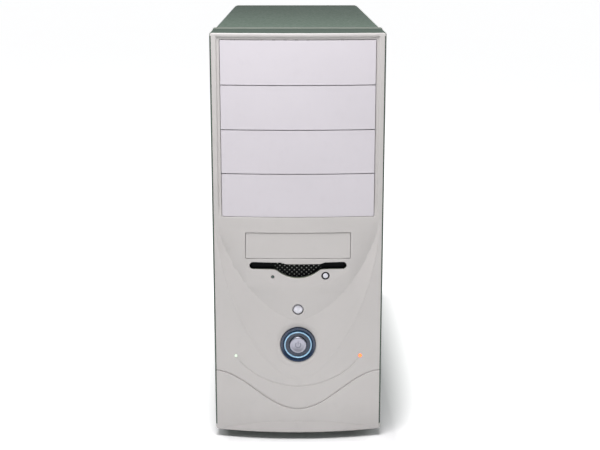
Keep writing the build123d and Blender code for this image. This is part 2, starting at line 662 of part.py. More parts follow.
def drive_cages():
    rows = [BAY_TOP - (number + 0.5) * BAY_PITCH for number in range(BAYS)]
    wall = cage_wall(CAGE_HALF, CAGE_FLOOR_TOP, BAY_TOP + 3, rows)
    reach = CAGE_HALF + CHASSIS_SHEET
    floor = block(-reach, reach, PLATE_BACK, CAGE_BACK, CAGE_FLOOR_BOTTOM, CAGE_FLOOR_TOP)
    save("bay_cage", wall, mirrored(wall), floor)
    rows = [z + DRIVE_HEIGHT / 2 for z in (HARD_DRIVE_BOTTOM, FLOPPY_BOTTOM, SMALL_BAY_BOTTOM)]
    wall = cage_wall(SMALL_CAGE_HALF, HARD_DRIVE_BOTTOM - 3, CAGE_FLOOR_BOTTOM, rows)
    save("small_cage", wall, mirrored(wall))


# ---- covers --------------------------------------------------------------------------------------
def channel(half, top, bottom, bend):
    """Section of X and Z: a rectangle with its two upper corners rounded."""
    outline = Pos(0, (top + bottom) / 2) * Rectangle(2 * half, top - bottom)
    return fillet(outline.vertices().group_by(Axis.Y)[-1], bend)


def top_cover():
    bottom = HEIGHT - COVER_FLANGE
    outer = prism_y(channel(HALF, HEIGHT, bottom, COVER_BEND), SEAM, REAR)
    inner = prism_y(channel(SKIN_IN, PLATE_TOP, bottom - 1, COVER_BEND - COVER_SHEET), SEAM - 1, REAR + 1)
    cover = outer - inner
    reach = HALF - COVER_BEND - 1
    cover += block(-reach, reach, REAR_OUT, REAR, HEIGHT - COVER_BACK_FLANGE, HEIGHT - COVER_SHEET / 2)
    save("top_cover", cover)


def side_panel():
    """Right-hand panel: a skin with hooks over the rails, a front hem and a back flange."""
    front = SEAM + SLIDE_GAP
    hook_front, hook_back = PLATE_BACK + 1, REAR_OUT
    panel = block(SKIN_IN, HALF, front, REAR, PANEL_BOTTOM, PANEL_TOP)
    panel += block(HALF - PANEL_BACK_FLANGE, HALF, REAR_OUT, REAR, PANEL_BOTTOM, PANEL_TOP)
    web = BASE + PAN_FLANGE + SLIDE_GAP
    panel += block(HOOK_IN, SKIN_IN, hook_front, hook_back, web, web + COVER_SHEET)
    panel += block(HOOK_IN, HOOK_OUT, hook_front, hook_back, web - HOOK_DEPTH, web + COVER_SHEET)
    web = RAIL_BOTTOM - SLIDE_GAP
    panel += block(HOOK_IN, SKIN_IN, hook_front, hook_back, web - COVER_SHEET, web)
    panel += block(HOOK_IN, HOOK_OUT, hook_front, hook_back, web - COVER_SHEET, web + HOOK_DEPTH)
    low, high = BASE + PAN_FLANGE + 6, RAIL_BOTTOM - 6
    panel += block(SKIN_IN - PANEL_HEM, HALF, front, front + COVER_SHEET, low, high)
    for x, z in thumbscrew_places():
        panel -= rod_y(x, z, THUMBSCREW_SHANK + 2 * THREAD_GAP, REAR_OUT - 1, REAR + 1)
    return panel


def thumbscrew(x, z):
    shank = rod_y(x, z, THUMBSCREW_SHANK, REAR_IN - THUMBSCREW_REACH, REAR + 1)
    head = rod_y(x, z, THUMBSCREW_RADIUS, REAR, REAR + THUMBSCREW_HEAD)
    head = fillet(head.edges().group_by(Axis.Y)[-1], 1.0)
    slot = block(x - THUMBSCREW_RADIUS, x + THUMBSCREW_RADIUS, REAR + 5.6, REAR + 8, z - 0.7, z + 0.7)
    return head + shank - slot


def side_panels():
    panel = side_panel()
    screws = [thumbscrew(x, z) for x, z in thumbscrew_places()]
    save("right_side_panel", panel)
    save("left_side_panel", mirrored(panel))
    save("right_thumbscrews", *screws)
    save("left_thumbscrews", *[mirrored(screw) for screw in screws])


def foot_places():
    front, back = PLATE_BACK + FOOT_FRONT_INSET, REAR_IN - FOOT_BACK_INSET
    return [(x, y) for x in (-FOOT_X, FOOT_X) for y in (front, back)]


def feet():
    pieces = []
    for x, y in foot_places():
        body = Pos(x, y, FOOT_HEIGHT / 2) * Cone(FOOT_RADIUS - 2, FOOT_RADIUS, FOOT_HEIGHT)
        body -= rod_z(x, y, FOOT_PIN + 1, -1, FOOT_HEIGHT * 0.4)
        pieces.append(body + rod_z(x, y, FOOT_PIN, FOOT_HEIGHT * 0.5, PAN_TOP + 3))
    save("feet", *pieces)


# ---- fans ----------------------------------------------------------------------------------------
def fan_frame(size, depth):
    """Fan frame on the Z axis from 0 to depth, with its motor seat and struts at the low side."""
    bore = size / 2 - FAN_RIM
    frame = Pos(0, 0, depth / 2) * Box(size, size, depth)
    frame = fillet(frame.edges().filter_by(Axis.Z), 3)
    frame -= rod_z(0, 0, bore, -1, depth + 1)
    for x in (-1, 1):
        for y in (-1, 1):
            place = size / 2 - size * 0.055
            frame -= rod_z(x * place, y * place, size * 0.024, -1, depth + 1)
    seat = rod_z(0, 0, size * 0.2, 0, 3)
    for angle in (45, 135, 225, 315):
        strut = Pos(bore / 2 + 1, 0, 1.25) * Box(bore, 3, 2.5)
        seat += Rot(0, 0, angle) * strut
    return frame + seat - rod_z(0, 0, 1.5 + RUNNING_GAP, -1, 4)


def fan_rotor(size, depth):
    """Hub, blades and spindle that turn in fan_frame on the Z axis."""
    tip = size / 2 - FAN_RIM - BLADE_GAP
    hub_radius = size * 0.2
    low, high = 4.0, depth - 1.0
    rotor = rod_z(0, 0, hub_radius, low, high)
    span = tip - hub_radius
    chord = min((high - low) * 1.35, size * 0.26)
    for number in range(FAN_BLADES):
        blade = Rot(38, 0, 0) * Box(span + 3, chord, 1.4)
        blade = Pos(hub_radius + span / 2 - 1.0, 0, (low + high) / 2) * blade
        rotor += Rot(0, 0, number * 360 / FAN_BLADES) * blade
    limit = rod_z(0, 0, tip, low, high)
    return (rotor & limit) + rod_z(0, 0, 1.5, 0.5, low + 1)


# ---- power supply --------------------------------------------------------------------------------
def power_supply():
    case = block(-PSU_HALF, PSU_HALF, PSU_FRONT, REAR_IN, PSU_BOTTOM, PSU_TOP)
    wall = PSU_WALL
    case -= block(
        -PSU_HALF + wall, PSU_HALF - wall, PSU_FRONT + wall, REAR_IN - wall, PSU_BOTTOM + wall, PSU_TOP - wall
    )
    near, far = REAR_IN - wall - 1, REAR_IN + 1
    case -= rod_y(PSU_FAN_X, PSU_MIDDLE, CASE_FAN_SIZE / 2 - FAN_RIM, near, far)
    inlet_z = PSU_BOTTOM + INLET_UP
    switch_z = PSU_BOTTOM + SWITCH_UP
    selector_z = PSU_BOTTOM + SELECTOR_UP
    gap = FIT_GAP
    half_w, half_h = INLET_WIDTH / 2 + gap, INLET_HEIGHT / 2 + gap
    case -= block(INLET_X - half_w, INLET_X + half_w, near, far, inlet_z - half_h, inlet_z + half_h)
    half_w, half_h = SWITCH_WIDTH / 2 + gap, SWITCH_HEIGHT / 2 + gap
    case -= block(SWITCH_X - half_w, SWITCH_X + half_w, near, far, switch_z - half_h, switch_z + half_h)
    half_h = (SELECTOR_LENGTH + SELECTOR_TRAVEL) / 2 + SELECTOR_END_GAP
    case -= block(SELECTOR_X - 3.5, SELECTOR_X + 3.5, near, far, selector_z - half_h, selector_z + half_h)
    for x, z in psu_screws():
        case -= rod_y(x, z, SCREW_RADIUS + THREAD_GAP, near, far)
    for number in range(9):
        x = -56 + number * 14
        case -= block(x - 2, x + 2, PSU_FRONT - 1, PSU_FRONT + wall + 1, PSU_MIDDLE - 28, PSU_MIDDLE + 28)
    save("psu_case", case)

    fan_place = Pos(PSU_FAN_X, REAR_IN - wall, PSU_MIDDLE) * Rot(90, 0, 0)
    save("psu_fan_frame", fan_place * fan_frame(CASE_FAN_SIZE, CASE_FAN_DEPTH))
    save("psu_fan_rotor", fan_place * fan_rotor(CASE_FAN_SIZE, CASE_FAN_DEPTH))
    fan_guard()
    inlet(inlet_z)
    mains_switch(switch_z)
    selector(selector_z)
    psu_board()


def fan_guard():
    """Wire rings on crossed wires in front of the power supply's fan."""
    y = REAR_IN + WIRE_RADIUS
    guard = Rot(0, 45, 0) * rod_x(0, 0, WIRE_RADIUS, -39, 39)
    guard += Rot(0, 135, 0) * rod_x(0, 0, WIRE_RADIUS, -39, 39)
    for radius in (8, 15, 22, 29, 36):
        guard += Pos(0, WIRE_RADIUS * 1.2, 0) * Rot(90, 0, 0) * Torus(radius, WIRE_RADIUS)
    save("psu_fan_guard", Pos(PSU_FAN_X, y, PSU_MIDDLE) * guard)


def inlet(z):
    """Three-pin mains inlet that snaps into the power supply's back."""
    half_w, half_h = INLET_WIDTH / 2, INLET_HEIGHT / 2
    body = block(INLET_X - half_w, INLET_X + half_w, REAR_IN - 22, REAR_IN + 1, z - half_h, z + half_h)
    half_w, half_h = half_w + INLET_FLANGE, half_h + INLET_FLANGE
    flange = block(INLET_X - half_w, INLET_X + half_w, REAR_IN, REAR_IN + 2, z - half_h, z + half_h)
    body += fillet(flange.edges().filter_by(Axis.Y), 2)
    recess = block(INLET_X - 12.2, INLET_X + 12.2, REAR_IN - 18, REAR_IN + 3, z - 8.2, z + 8.2)
    recess = chamfer(recess.edges().filter_by(Axis.Y).group_by(Axis.Z)[-1], 4.0)
    body -= recess
    for x, up in ((-7, -2), (0, 2.5), (7, -2)):
        body += block(INLET_X + x - 1, INLET_X + x + 1, REAR_IN - 19, REAR_IN - 4, z + up - 2, z + up + 2)
    save("mains_inlet", body)


def mains_switch(z):
    """Rocker switch: a housing and a rocker that tips about a pin along X."""
    half_w, half_h = SWITCH_WIDTH / 2, SWITCH_HEIGHT / 2
    housing = block(SWITCH_X - half_w, SWITCH_X + half_w, REAR_IN - 18, REAR_IN + 1, z - half_h, z + half_h)
    half_w, half_h = half_w + SWITCH_RIM, half_h + SWITCH_RIM
    flange = block(SWITCH_X - half_w, SWITCH_X + half_w, REAR_IN, REAR_IN + 1.8, z - half_h, z + half_h)
    housing += fillet(flange.edges().filter_by(Axis.Y), 1.5)
    housing -= block(SWITCH_X - 5.3, SWITCH_X + 5.3, REAR_IN - 14, REAR_IN + 3, z - 8.4, z + 8.4)
    pivot_y = REAR_IN - 5
    housing -= rod_x(pivot_y, z, 1.2 + RUNNING_GAP, SWITCH_X - 6, SWITCH_X + 6)
    save("mains_switch_housing", housing)
    angle = math.radians(ROCKER_TILT)
    length, crown, depth = 6.9, 7.6, 4.0
    rise = crown + length * math.tan(angle)
    right = [(0, crown), (length, rise), (length, 1.0), (2.5, -depth)]
    left = [(-x, y) for x, y in reversed(right[1:])]
    outline = Polyline(*right, *left, close=True)
    profile = make_face(outline)
    rocker = prism_x(Rot(0, 0, -90) * profile, SWITCH_X - 5.0, SWITCH_X + 5.0)
    rocker += rod_x(0, 0, 1.2, SWITCH_X - 5.8, SWITCH_X + 5.8)
    save("mains_switch_rocker", Pos(0, pivot_y, z) * Rot(ROCKER_TILT, 0, 0) * rocker)


def selector(z):
    """Recessed slide switch for the supply voltage."""
    half = (SELECTOR_LENGTH + SELECTOR_TRAVEL) / 2 + SELECTOR_END_GAP
    wall = 1.5
    outer_x, outer_z = 3.5 + wall, half + wall
    housing = block(
        SELECTOR_X - outer_x, SELECTOR_X + outer_x, REAR_IN - 9, REAR_IN - PSU_WALL, z - outer_z, z + outer_z
    )
    housing -= block(SELECTOR_X - 3.5, SELECTOR_X + 3.5, REAR_IN - 6, REAR_IN, z - half, z + half)
    save("selector_housing", housing)
    low = z - half + SELECTOR_END_GAP
    slider = block(
        SELECTOR_X - 3.1, SELECTOR_X + 3.1, REAR_IN - 5.7, REAR_IN - 0.4, low, low + SELECTOR_LENGTH
    )
    save("voltage_selector", slider)


def psu_board():
    floor = PSU_BOTTOM + PSU_WALL + 4
    front, back = PSU_FRONT + 6, REAR_IN - PSU_WALL - CASE_FAN_DEPTH - 6
    board = block(-PSU_HALF + 5, PSU_HALF - 5, front, back, floor, floor + 1.6)
    top = floor + 1.6
    left_sink = block(-46, -42, front + 8, back - 8, top, top + 52)
    right_sink = block(32, 36, front + 8, back - 8, top, top + 52)
    transformer = block(-24, 12, front + 30, front + 64, top, top + 34)
    tall = [rod_z(56, front + y, 11, top, top + 40) for y in (20, 46)]
    small = [rod_z(-60, front + y, 6, top, top + 22) for y in (16, 34, 52, 70)]
    save("psu_board", board, left_sink, right_sink, transformer, *tall, *small)


# ---- motherboard and what is on it ---------------------------------------------------------------
def motherboard():
    board = block(BOARD_X, BOARD_BACK_X, BOARD_FRONT, BOARD_REAR, BOARD_BOTTOM, BOARD_TOP)
    save("motherboard", board)


def cooler():
    half = HEATSINK_SIZE / 2
    socket = block(HEATSINK_X, BOARD_X, COOLER_Y - 27, COOLER_Y + 27, COOLER_Z - 27, COOLER_Z + 27)
    save("processor_socket", socket)
    low, high = COOLER_Z - half, COOLER_Z + half
    sink = block(HEATSINK_X - 7, HEATSINK_X, COOLER_Y - half, COOLER_Y + half, low, high)
    pitch = (HEATSINK_SIZE - 2) / (HEATSINK_FINS - 1)
    for number in range(HEATSINK_FINS):
        y = COOLER_Y - half + 1 + number * pitch
        sink += block(COOLER_FAN_X, HEATSINK_X - 6, y - 0.9, y + 0.9, low, high)
    save("processor_heatsink", sink)
    fan_place = Pos(COOLER_FAN_X - COOLER_FAN_DEPTH, COOLER_Y, COOLER_Z) * Rot(0, 90, 0)
    save("cooler_fan_frame", fan_place * fan_frame(COOLER_FAN_SIZE, COOLER_FAN_DEPTH))
    save("cooler_fan_rotor", fan_place * fan_rotor(COOLER_FAN_SIZE, COOLER_FAN_DEPTH))


def board_sockets():
    """Memory sockets, card sockets and the drive connectors."""
    memory, modules = [], []
    low, high = BOARD_TOP - 152, BOARD_TOP - 12
    for number in range(3):
        y = BOARD_FRONT + 30 + number * 10
        socket = block(BOARD_X - 9, BOARD_X, y - 3, y + 3, low, high)
        socket -= block(BOARD_X - 10, BOARD_X - 4, y - 0.9, y + 0.9, low + 3, high - 3)
        memory.append(socket)
        if number < 2:
            module = block(BOARD_X - 34, BOARD_X - 4, y - 0.65, y + 0.65, low + 3.3, high - 3.3)
            for chip in range(8):
                z = low + 10 + chip * 15.5
                module += block(BOARD_X - 24, BOARD_X - 14, y - 1.7, y - 0.5, z, z + 12)
            modules.append(module)
    save("memory_sockets", *memory)
    save("memory_modules", *modules)
    cards = []
    for number, z in enumerate(slot_heights()[:6]):
        near = BOARD_REAR - (70 if number == 0 else 58)
        socket = block(BOARD_X - 11, BOARD_X, near - 84, near, z - 4, z + 4)
        socket -= block(BOARD_X - 12, BOARD_X - 3, near - 80, near - 4, z - 0.9, z + 0.9)
        cards.append(socket)
    save("card_sockets", *cards)


def board_parts():
    """Chip-set heat sink, drive and power connectors, cell and capacitors."""
    low, high = BOARD_BOTTOM + 152, BOARD_BOTTOM + 188
    chips = block(BOARD_X - 4, BOARD_X, BOARD_FRONT + 96, BOARD_FRONT + 132, low, high)
    for number in range(7):
        y = BOARD_FRONT + 97 + number * 5.6
        chips += block(BOARD_X - 14, BOARD_X - 3, y, y + 1.6, low, high)
    pieces = [chips]
    for y in (BOARD_FRONT + 6, BOARD_FRONT + 16):
        pieces.append(block(BOARD_X - 9, BOARD_X, y - 4, y + 4, BOARD_BOTTOM + 88, BOARD_BOTTOM + 144))
    low, high = BOARD_TOP - 70, BOARD_TOP - 18
    pieces.append(block(BOARD_X - 12, BOARD_X, BOARD_FRONT + 6, BOARD_FRONT + 16, low, high))
    pieces.append(rod_x(BOARD_FRONT + 60, BOARD_BOTTOM + 60, 10, BOARD_X - 5, BOARD_X))
    for number in range(7):
        z = COOLER_Z - 33 + number * 11
        pieces.append(rod_x(COOLER_Y + 41, z, 4, BOARD_X - 14, BOARD_X))
    for number in range(5):
        z = COOLER_Z - 22 + number * 11
        pieces.append(rod_x(COOLER_Y - 42, z, 4, BOARD_X - 14, BOARD_X))
    save("board_parts", *pieces)


def shield_sheet(x0):
    """Thin plate in the rear plate's window, from x0 to the window's outer side."""
    low, high = IO_BOTTOM + FIT_GAP, IO_TOP - FIT_GAP
    return block(x0, IO_OUT - FIT_GAP, REAR_IN - 0.4, REAR_OUT - 0.2, low, high)


def rear_ports():
    """The board's sockets and the thin shield round them."""
    shield = shield_sheet(IO_IN + FIT_GAP)
    ports = []
    back = REAR_OUT + 1.0
    for up, height, depth, kind in PORTS:
        z0, z1 = IO_BOTTOM + up, IO_BOTTOM + up + height
        port = block(BOARD_X - depth, BOARD_X, REAR_IN - PORT_REACH, back, z0, z1)
        if kind == "pair":
            for x in (BOARD_X - 7, BOARD_X - 20):
                port -= rod_y(x, (z0 + z1) / 2, 4.6, back - 6, back + 1)
        elif kind == "flat":
            for x in (BOARD_X - 4.6, BOARD_X - 11.6):
                port -= block(x - 2.2, x + 1.4, back - 6, back + 1, z0 + 1.5, z1 - 1.5)
        elif kind == "wide":
            port -= block(BOARD_X - 9.6, BOARD_X - 6.8, back - 5, back + 1, z0 + 4, z1 - 4)
        else:
            for number in range(3):
                port -= rod_y(BOARD_X - 6, z0 + 6 + number * 12, 1.8, back - 8, back + 1)
        ports.append(port)
        gap = FIT_GAP
        shield -= block(BOARD_X - depth - gap, IO_OUT, REAR_IN - 2, REAR_OUT + 2, z0 - gap, z1 + gap)
    save("io_shield", shield + shield_sheet(IO_OUT - 1.6))
    save("rear_ports", *ports)


def bracket(z):
    """Blank cover for one card slot, with its screw tab."""
    half = BRACKET_WIDTH / 2
    end = IO_OUT - BRACKET_LENGTH
    plate = block(end, IO_OUT, REAR_IN - BRACKET_SHEET, REAR_IN, z - half, z + half)
    tab = block(end, end + BRACKET_SHEET, REAR_IN - BRACKET_TAB, REAR_IN, z - half + 2, z + half - 2)
    return plate + tab - rod_x(REAR_IN - BRACKET_SCREW_IN, z, SCREW_RADIUS + THREAD_GAP, end - 1, end + 2)


def cards_and_brackets():
    heights = slot_heights()
    save("slot_brackets", *[bracket(z) for z in heights[1:]])
    z = heights[0]
    plate = bracket(z)
    connector = block(BOARD_X - 52, BOARD_X - 22, REAR_IN - 14, REAR_IN + 5.5, z - 5, z + 5)
    connector -= block(BOARD_X - 49, BOARD_X - 25, REAR_IN - 1, REAR_IN + 6, z - 3.4, z + 3.4)
    board = block(BOARD_X - 100, BOARD_X - 12, BOARD_REAR - 170, REAR_IN - BRACKET_SHEET, z - 0.8, z + 0.8)
    edge = block(BOARD_X - 12.5, BOARD_X - 3.5, BOARD_REAR - 149, BOARD_REAR - 75, z - 0.8, z + 0.8)
    card = board + edge + connector + plate
    sink = block(BOARD_X - 72, BOARD_X - 32, BOARD_REAR - 110, BOARD_REAR - 70, z - 13, z - 0.8)
    for number in range(6):
        x = BOARD_X - 70 + number * 6.4
        sink -= block(x, x + 4, BOARD_REAR - 111, BOARD_REAR - 69, z - 14, z - 4)
    save("graphics_card", card)
    save("graphics_heatsink", sink)


def screws():
    pieces = []
    for x, z in psu_screws():
        head = rod_y(x, z, SCREW_HEAD_RADIUS, REAR_OUT, REAR_OUT + SCREW_HEAD)
        pieces.append(head + rod_y(x, z, SCREW_RADIUS, REAR_IN - SCREW_REACH, REAR_OUT + 1))
    end = IO_OUT - BRACKET_LENGTH + BRACKET_SHEET
    for z in slot_heights():
        head = rod_x(REAR_IN - BRACKET_SCREW_IN, z, SCREW_HEAD_RADIUS, end, end + SCREW_HEAD)
        pieces.append(head + rod_x(REAR_IN - BRACKET_SCREW_IN, z, SCREW_RADIUS, end - SCREW_REACH, end + 1))
    save("chassis_screws", *pieces)


# ---- drives --------------------------------------------------------------------------------------
def floppy_drive():
    half = DRIVE_WIDTH / 2
    top = FLOPPY_BOTTOM + DRIVE_HEIGHT
    body = block(-half, half, FLOPPY_BODY_FRONT, FLOPPY_BODY_FRONT + FLOPPY_LENGTH, FLOPPY_BOTTOM, top)
    low, high = SLOT_Z - SLOT_OPENING / 2 - 1, SLOT_Z + SLOT_OPENING / 2 + 1
    body -= block(-47.5, 47.5, FLOPPY_BODY_FRONT - 1, FLOPPY_BODY_FRONT + CAVITY_DEPTH, low, high)
    body -= prism_y(slot_outline(0.8), FLOPPY_BODY_FRONT - 1, FLOPPY_BODY_FRONT + 16)
    hole = EJECT_RADIUS + BUTTON_GAP
    body -= rod_y(EJECT_X, EJECT_Z, hole, FLOPPY_BODY_FRONT - 1, FLOPPY_BODY_FRONT + 12)
    save("floppy_drive", body)

    face = block(-half, half, FLOPPY_FACE_FRONT, FLOPPY_BODY_FRONT, FLOPPY_BOTTOM, top)
    face -= prism_y(slot_outline(0), FLOPPY_FACE_FRONT - 1, FLOPPY_BODY_FRONT + 1)
    face -= rod_y(EJECT_X, EJECT_Z, hole, FLOPPY_FACE_FRONT - 1, FLOPPY_BODY_FRONT + 1)
    pin_y = FRONT + FLAP_SETBACK + FLAP_THICKNESS / 2
    pin_z = SLOT_Z + SLOT_OPENING / 2 - FLAP_GAP - FLAP_PIN_DROP
    face -= rod_x(pin_y, pin_z, FLAP_PIN_RADIUS + RUNNING_GAP, -half + 1, half - 1)
    save("floppy_face", face)

    reach = SLOT_LENGTH / 2 - FLAP_END_GAP
    window = Pos(0, SLOT_Z) * Rectangle(2 * reach, 4 * (SLOT_OPENING + NOTCH_DEPTH))
    outline = slot_outline(-FLAP_GAP) & window
    flap = prism_y(outline, FRONT + FLAP_SETBACK, FRONT + FLAP_SETBACK + FLAP_THICKNESS)
    pins = rod_x(pin_y, pin_z, FLAP_PIN_RADIUS, -half + 1.7, -reach + 3)
    flap += pins + mirrored(pins)
    rows = int((NOTCH_DEPTH + SLOT_OPENING - 3) / STUD_ROW)
    for row in range(rows):
        z = SLOT_Z + 1.0 - row * STUD_ROW
        width = NOTCH_HALF * (1 - (row / rows) ** 2) - 2.0
        count = int(width / STUD_PITCH)
        for column in range(-count, count + 1):
            x = (column + 0.5 * (row % 2)) * STUD_PITCH
            stud = rod_y(x, z, STUD_RADIUS, FRONT + FLAP_SETBACK - STUD_HEIGHT, FRONT + FLAP_SETBACK + 0.5)
            if abs(x) < width:
                flap += stud
    save("floppy_flap", flap)


def hard_drive():
    half = DRIVE_WIDTH / 2
    front = PLATE_BACK + 6
    z0 = HARD_DRIVE_BOTTOM
    body = block(-half, half, front, front + HARD_DRIVE_LENGTH, z0 + 3, z0 + DRIVE_HEIGHT - 1)
    body = fillet(body.edges().filter_by(Axis.Z), 3)
    end, top = front + HARD_DRIVE_LENGTH, z0 + DRIVE_HEIGHT
    lid = block(-half + 3, half - 3, front + 3, end - 3, top - 1, top)
    board = block(-half + 2, half - 2, front + 30, end - 1, z0 + 1.4, z0 + 3)
    save("hard_drive", body + lid)
    save("hard_drive_board", board)


def build():
    front_bezel()
    bay_covers()
    power_button()
    reset_button()
    switch_board()
    eject_button()
    lamps()
    speaker()
    base_pan()
    front_plate()
    rear_plate()
    top_rails()
    motherboard_tray()
    drive_cages()
    top_cover()
    side_panels()
    feet()
    power_supply()
    motherboard()
    cooler()
    board_sockets()
    board_parts()
    rear_ports()
    cards_and_brackets()
    screws()
    floppy_drive()
    hard_drive()


build()
os.makedirs("parts", exist_ok=True)
for node, solids in PARTS.items():
    export_step(Compound(children=solids), f"parts/{node}.step")
print(len(PARTS), "nodes")
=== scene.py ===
"""Looks for the desktop computer tower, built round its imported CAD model."""

import math

import bpy
import numpy as np
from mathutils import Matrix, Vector
from mathutils.geometry import delaunay_2d_cdt


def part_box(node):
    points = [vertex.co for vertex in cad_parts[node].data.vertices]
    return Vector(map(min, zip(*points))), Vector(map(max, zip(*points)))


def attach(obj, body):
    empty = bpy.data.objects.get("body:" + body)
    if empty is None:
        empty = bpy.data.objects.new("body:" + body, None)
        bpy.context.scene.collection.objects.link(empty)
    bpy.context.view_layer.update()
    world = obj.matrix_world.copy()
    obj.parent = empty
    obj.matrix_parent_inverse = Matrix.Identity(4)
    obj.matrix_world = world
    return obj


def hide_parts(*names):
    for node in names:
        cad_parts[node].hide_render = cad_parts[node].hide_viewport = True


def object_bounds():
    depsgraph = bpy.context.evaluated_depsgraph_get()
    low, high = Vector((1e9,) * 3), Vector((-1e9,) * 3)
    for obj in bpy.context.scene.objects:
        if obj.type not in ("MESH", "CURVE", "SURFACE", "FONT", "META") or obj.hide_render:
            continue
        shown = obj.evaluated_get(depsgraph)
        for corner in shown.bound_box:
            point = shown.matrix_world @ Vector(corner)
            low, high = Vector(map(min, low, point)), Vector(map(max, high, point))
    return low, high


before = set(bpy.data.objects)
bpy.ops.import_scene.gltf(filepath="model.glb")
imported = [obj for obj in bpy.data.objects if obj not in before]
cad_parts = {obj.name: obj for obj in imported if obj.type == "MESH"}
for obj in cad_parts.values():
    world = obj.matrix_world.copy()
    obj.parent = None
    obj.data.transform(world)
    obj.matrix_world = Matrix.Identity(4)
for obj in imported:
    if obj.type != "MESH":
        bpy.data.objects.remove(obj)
cad_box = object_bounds()

MM = 0.001

# ---- the bezel's design, in millimetres ---------------------------------------------------------
# Heights are measured up from the bezel's bottom edge, depths back from its plain bowed front.
BEZEL_DEPTH = 48.0  # side edges of the front to the steel case
BEZEL_TOP_DROP = 1.2  # the bezel's top lies this far below the rim at its back
BOW = 6.0  # the middle of the front stands this far forward of its side edges
LIP = 4.0  # and the bottom edge this much further
LIP_RISE = 10.5
WALL = 2.2
EDGE_ROUND = 2.0
SHADED_EDGE_REACH = 1.65  # how far the dark hood colour comes round the front's rounded edge, as painted shade
OPENING_ROUND = 0.6
CORNER = 2.5
CORNER_POINTS = 6
RIM = 1.7
COVER_GAP = 0.45
FRAME_FALL = 1.7  # the ledge round the large bays
FRAME_LEDGE = 2.3
FRAME_STEP_WIDTH = 1.5
SLOT_UP = 174.5  # middle of the disk slot
SLOT_HALF = 48.0
SLOT_OPENING = 7.6
NOTCH_DEPTH = 9.0  # thumb notch in the slot's lower edge
NOTCH_HALF = 22.0
LEDGE_DEPTH = 1.9  # shallow ledge in its upper edge
LEDGE_HALF = 22.0
LEDGE_X = 5.0
INNER_OVAL = (79.5, 222.0, 105.0, 1.58)  # half width, top, fall below it, power
OUTER_OVAL = (81.0, 224.0, 167.0, 1.72)
DISH_DEPTH = 4.7
DISH_POWER = 2.8  # how late the dish's floor turns down to the inner oval
RIDGE_HEIGHT = 0.28
CRESCENT_CENTRE = 237.5
CRESCENT_RADIUS = 84.9
CRESCENT_FALL = 21.9
CRESCENT_DEPTH = 3.0
SKIRT_STEP = 1.1
SKIRT_LOW = 23.9
SKIRT_RISE = 39.6
SKIRT_FADE = 206.0  # where the step has faded out
GROOVE_CENTRE = 129.0
GROOVE_RADIUS = 80.1
GROOVE_DEPTH = 0.55
GROOVE_HALF = 58.5
POWER_UP = 92.0
RING_HOLE = 17.85
GRID = 1.3  # spacing of the front's points
BACK_GRID = 3.0
CURVE_STEP = 0.9
FRONT_FACE, PAINTED_SHADE_HOOD, PAINTED_SHADE_SLOT_WALL, SEAM_RIM_PAINTED_HIGHLIGHT = range(4)  # the bezel's material numbers; the hood and slot wall colours are painted shade, the seam rim's colour a painted highlight


# ---- small helpers ------------------------------------------------------------------------------
def clamp01(value):
    return np.clip(value, 0.0, 1.0)


def smooth(value):
    value = clamp01(value)
    return value * value * (3 - 2 * value)


def linear(*rgb):
    """Linear colour from 0-255 screen values."""
    out = []
    for value in rgb:
        value /= 255
        out.append(value / 12.92 if value <= 0.04045 else ((value + 0.055) / 1.055) ** 2.4)
    return (*out, 1.0)


def new_object(name, mesh, body, slot, *replaced):
    piece = bpy.data.objects.new(name, mesh)
    bpy.context.scene.collection.objects.link(piece)
    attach(piece, body)
    if replaced:
        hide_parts(*replaced)
    return piece


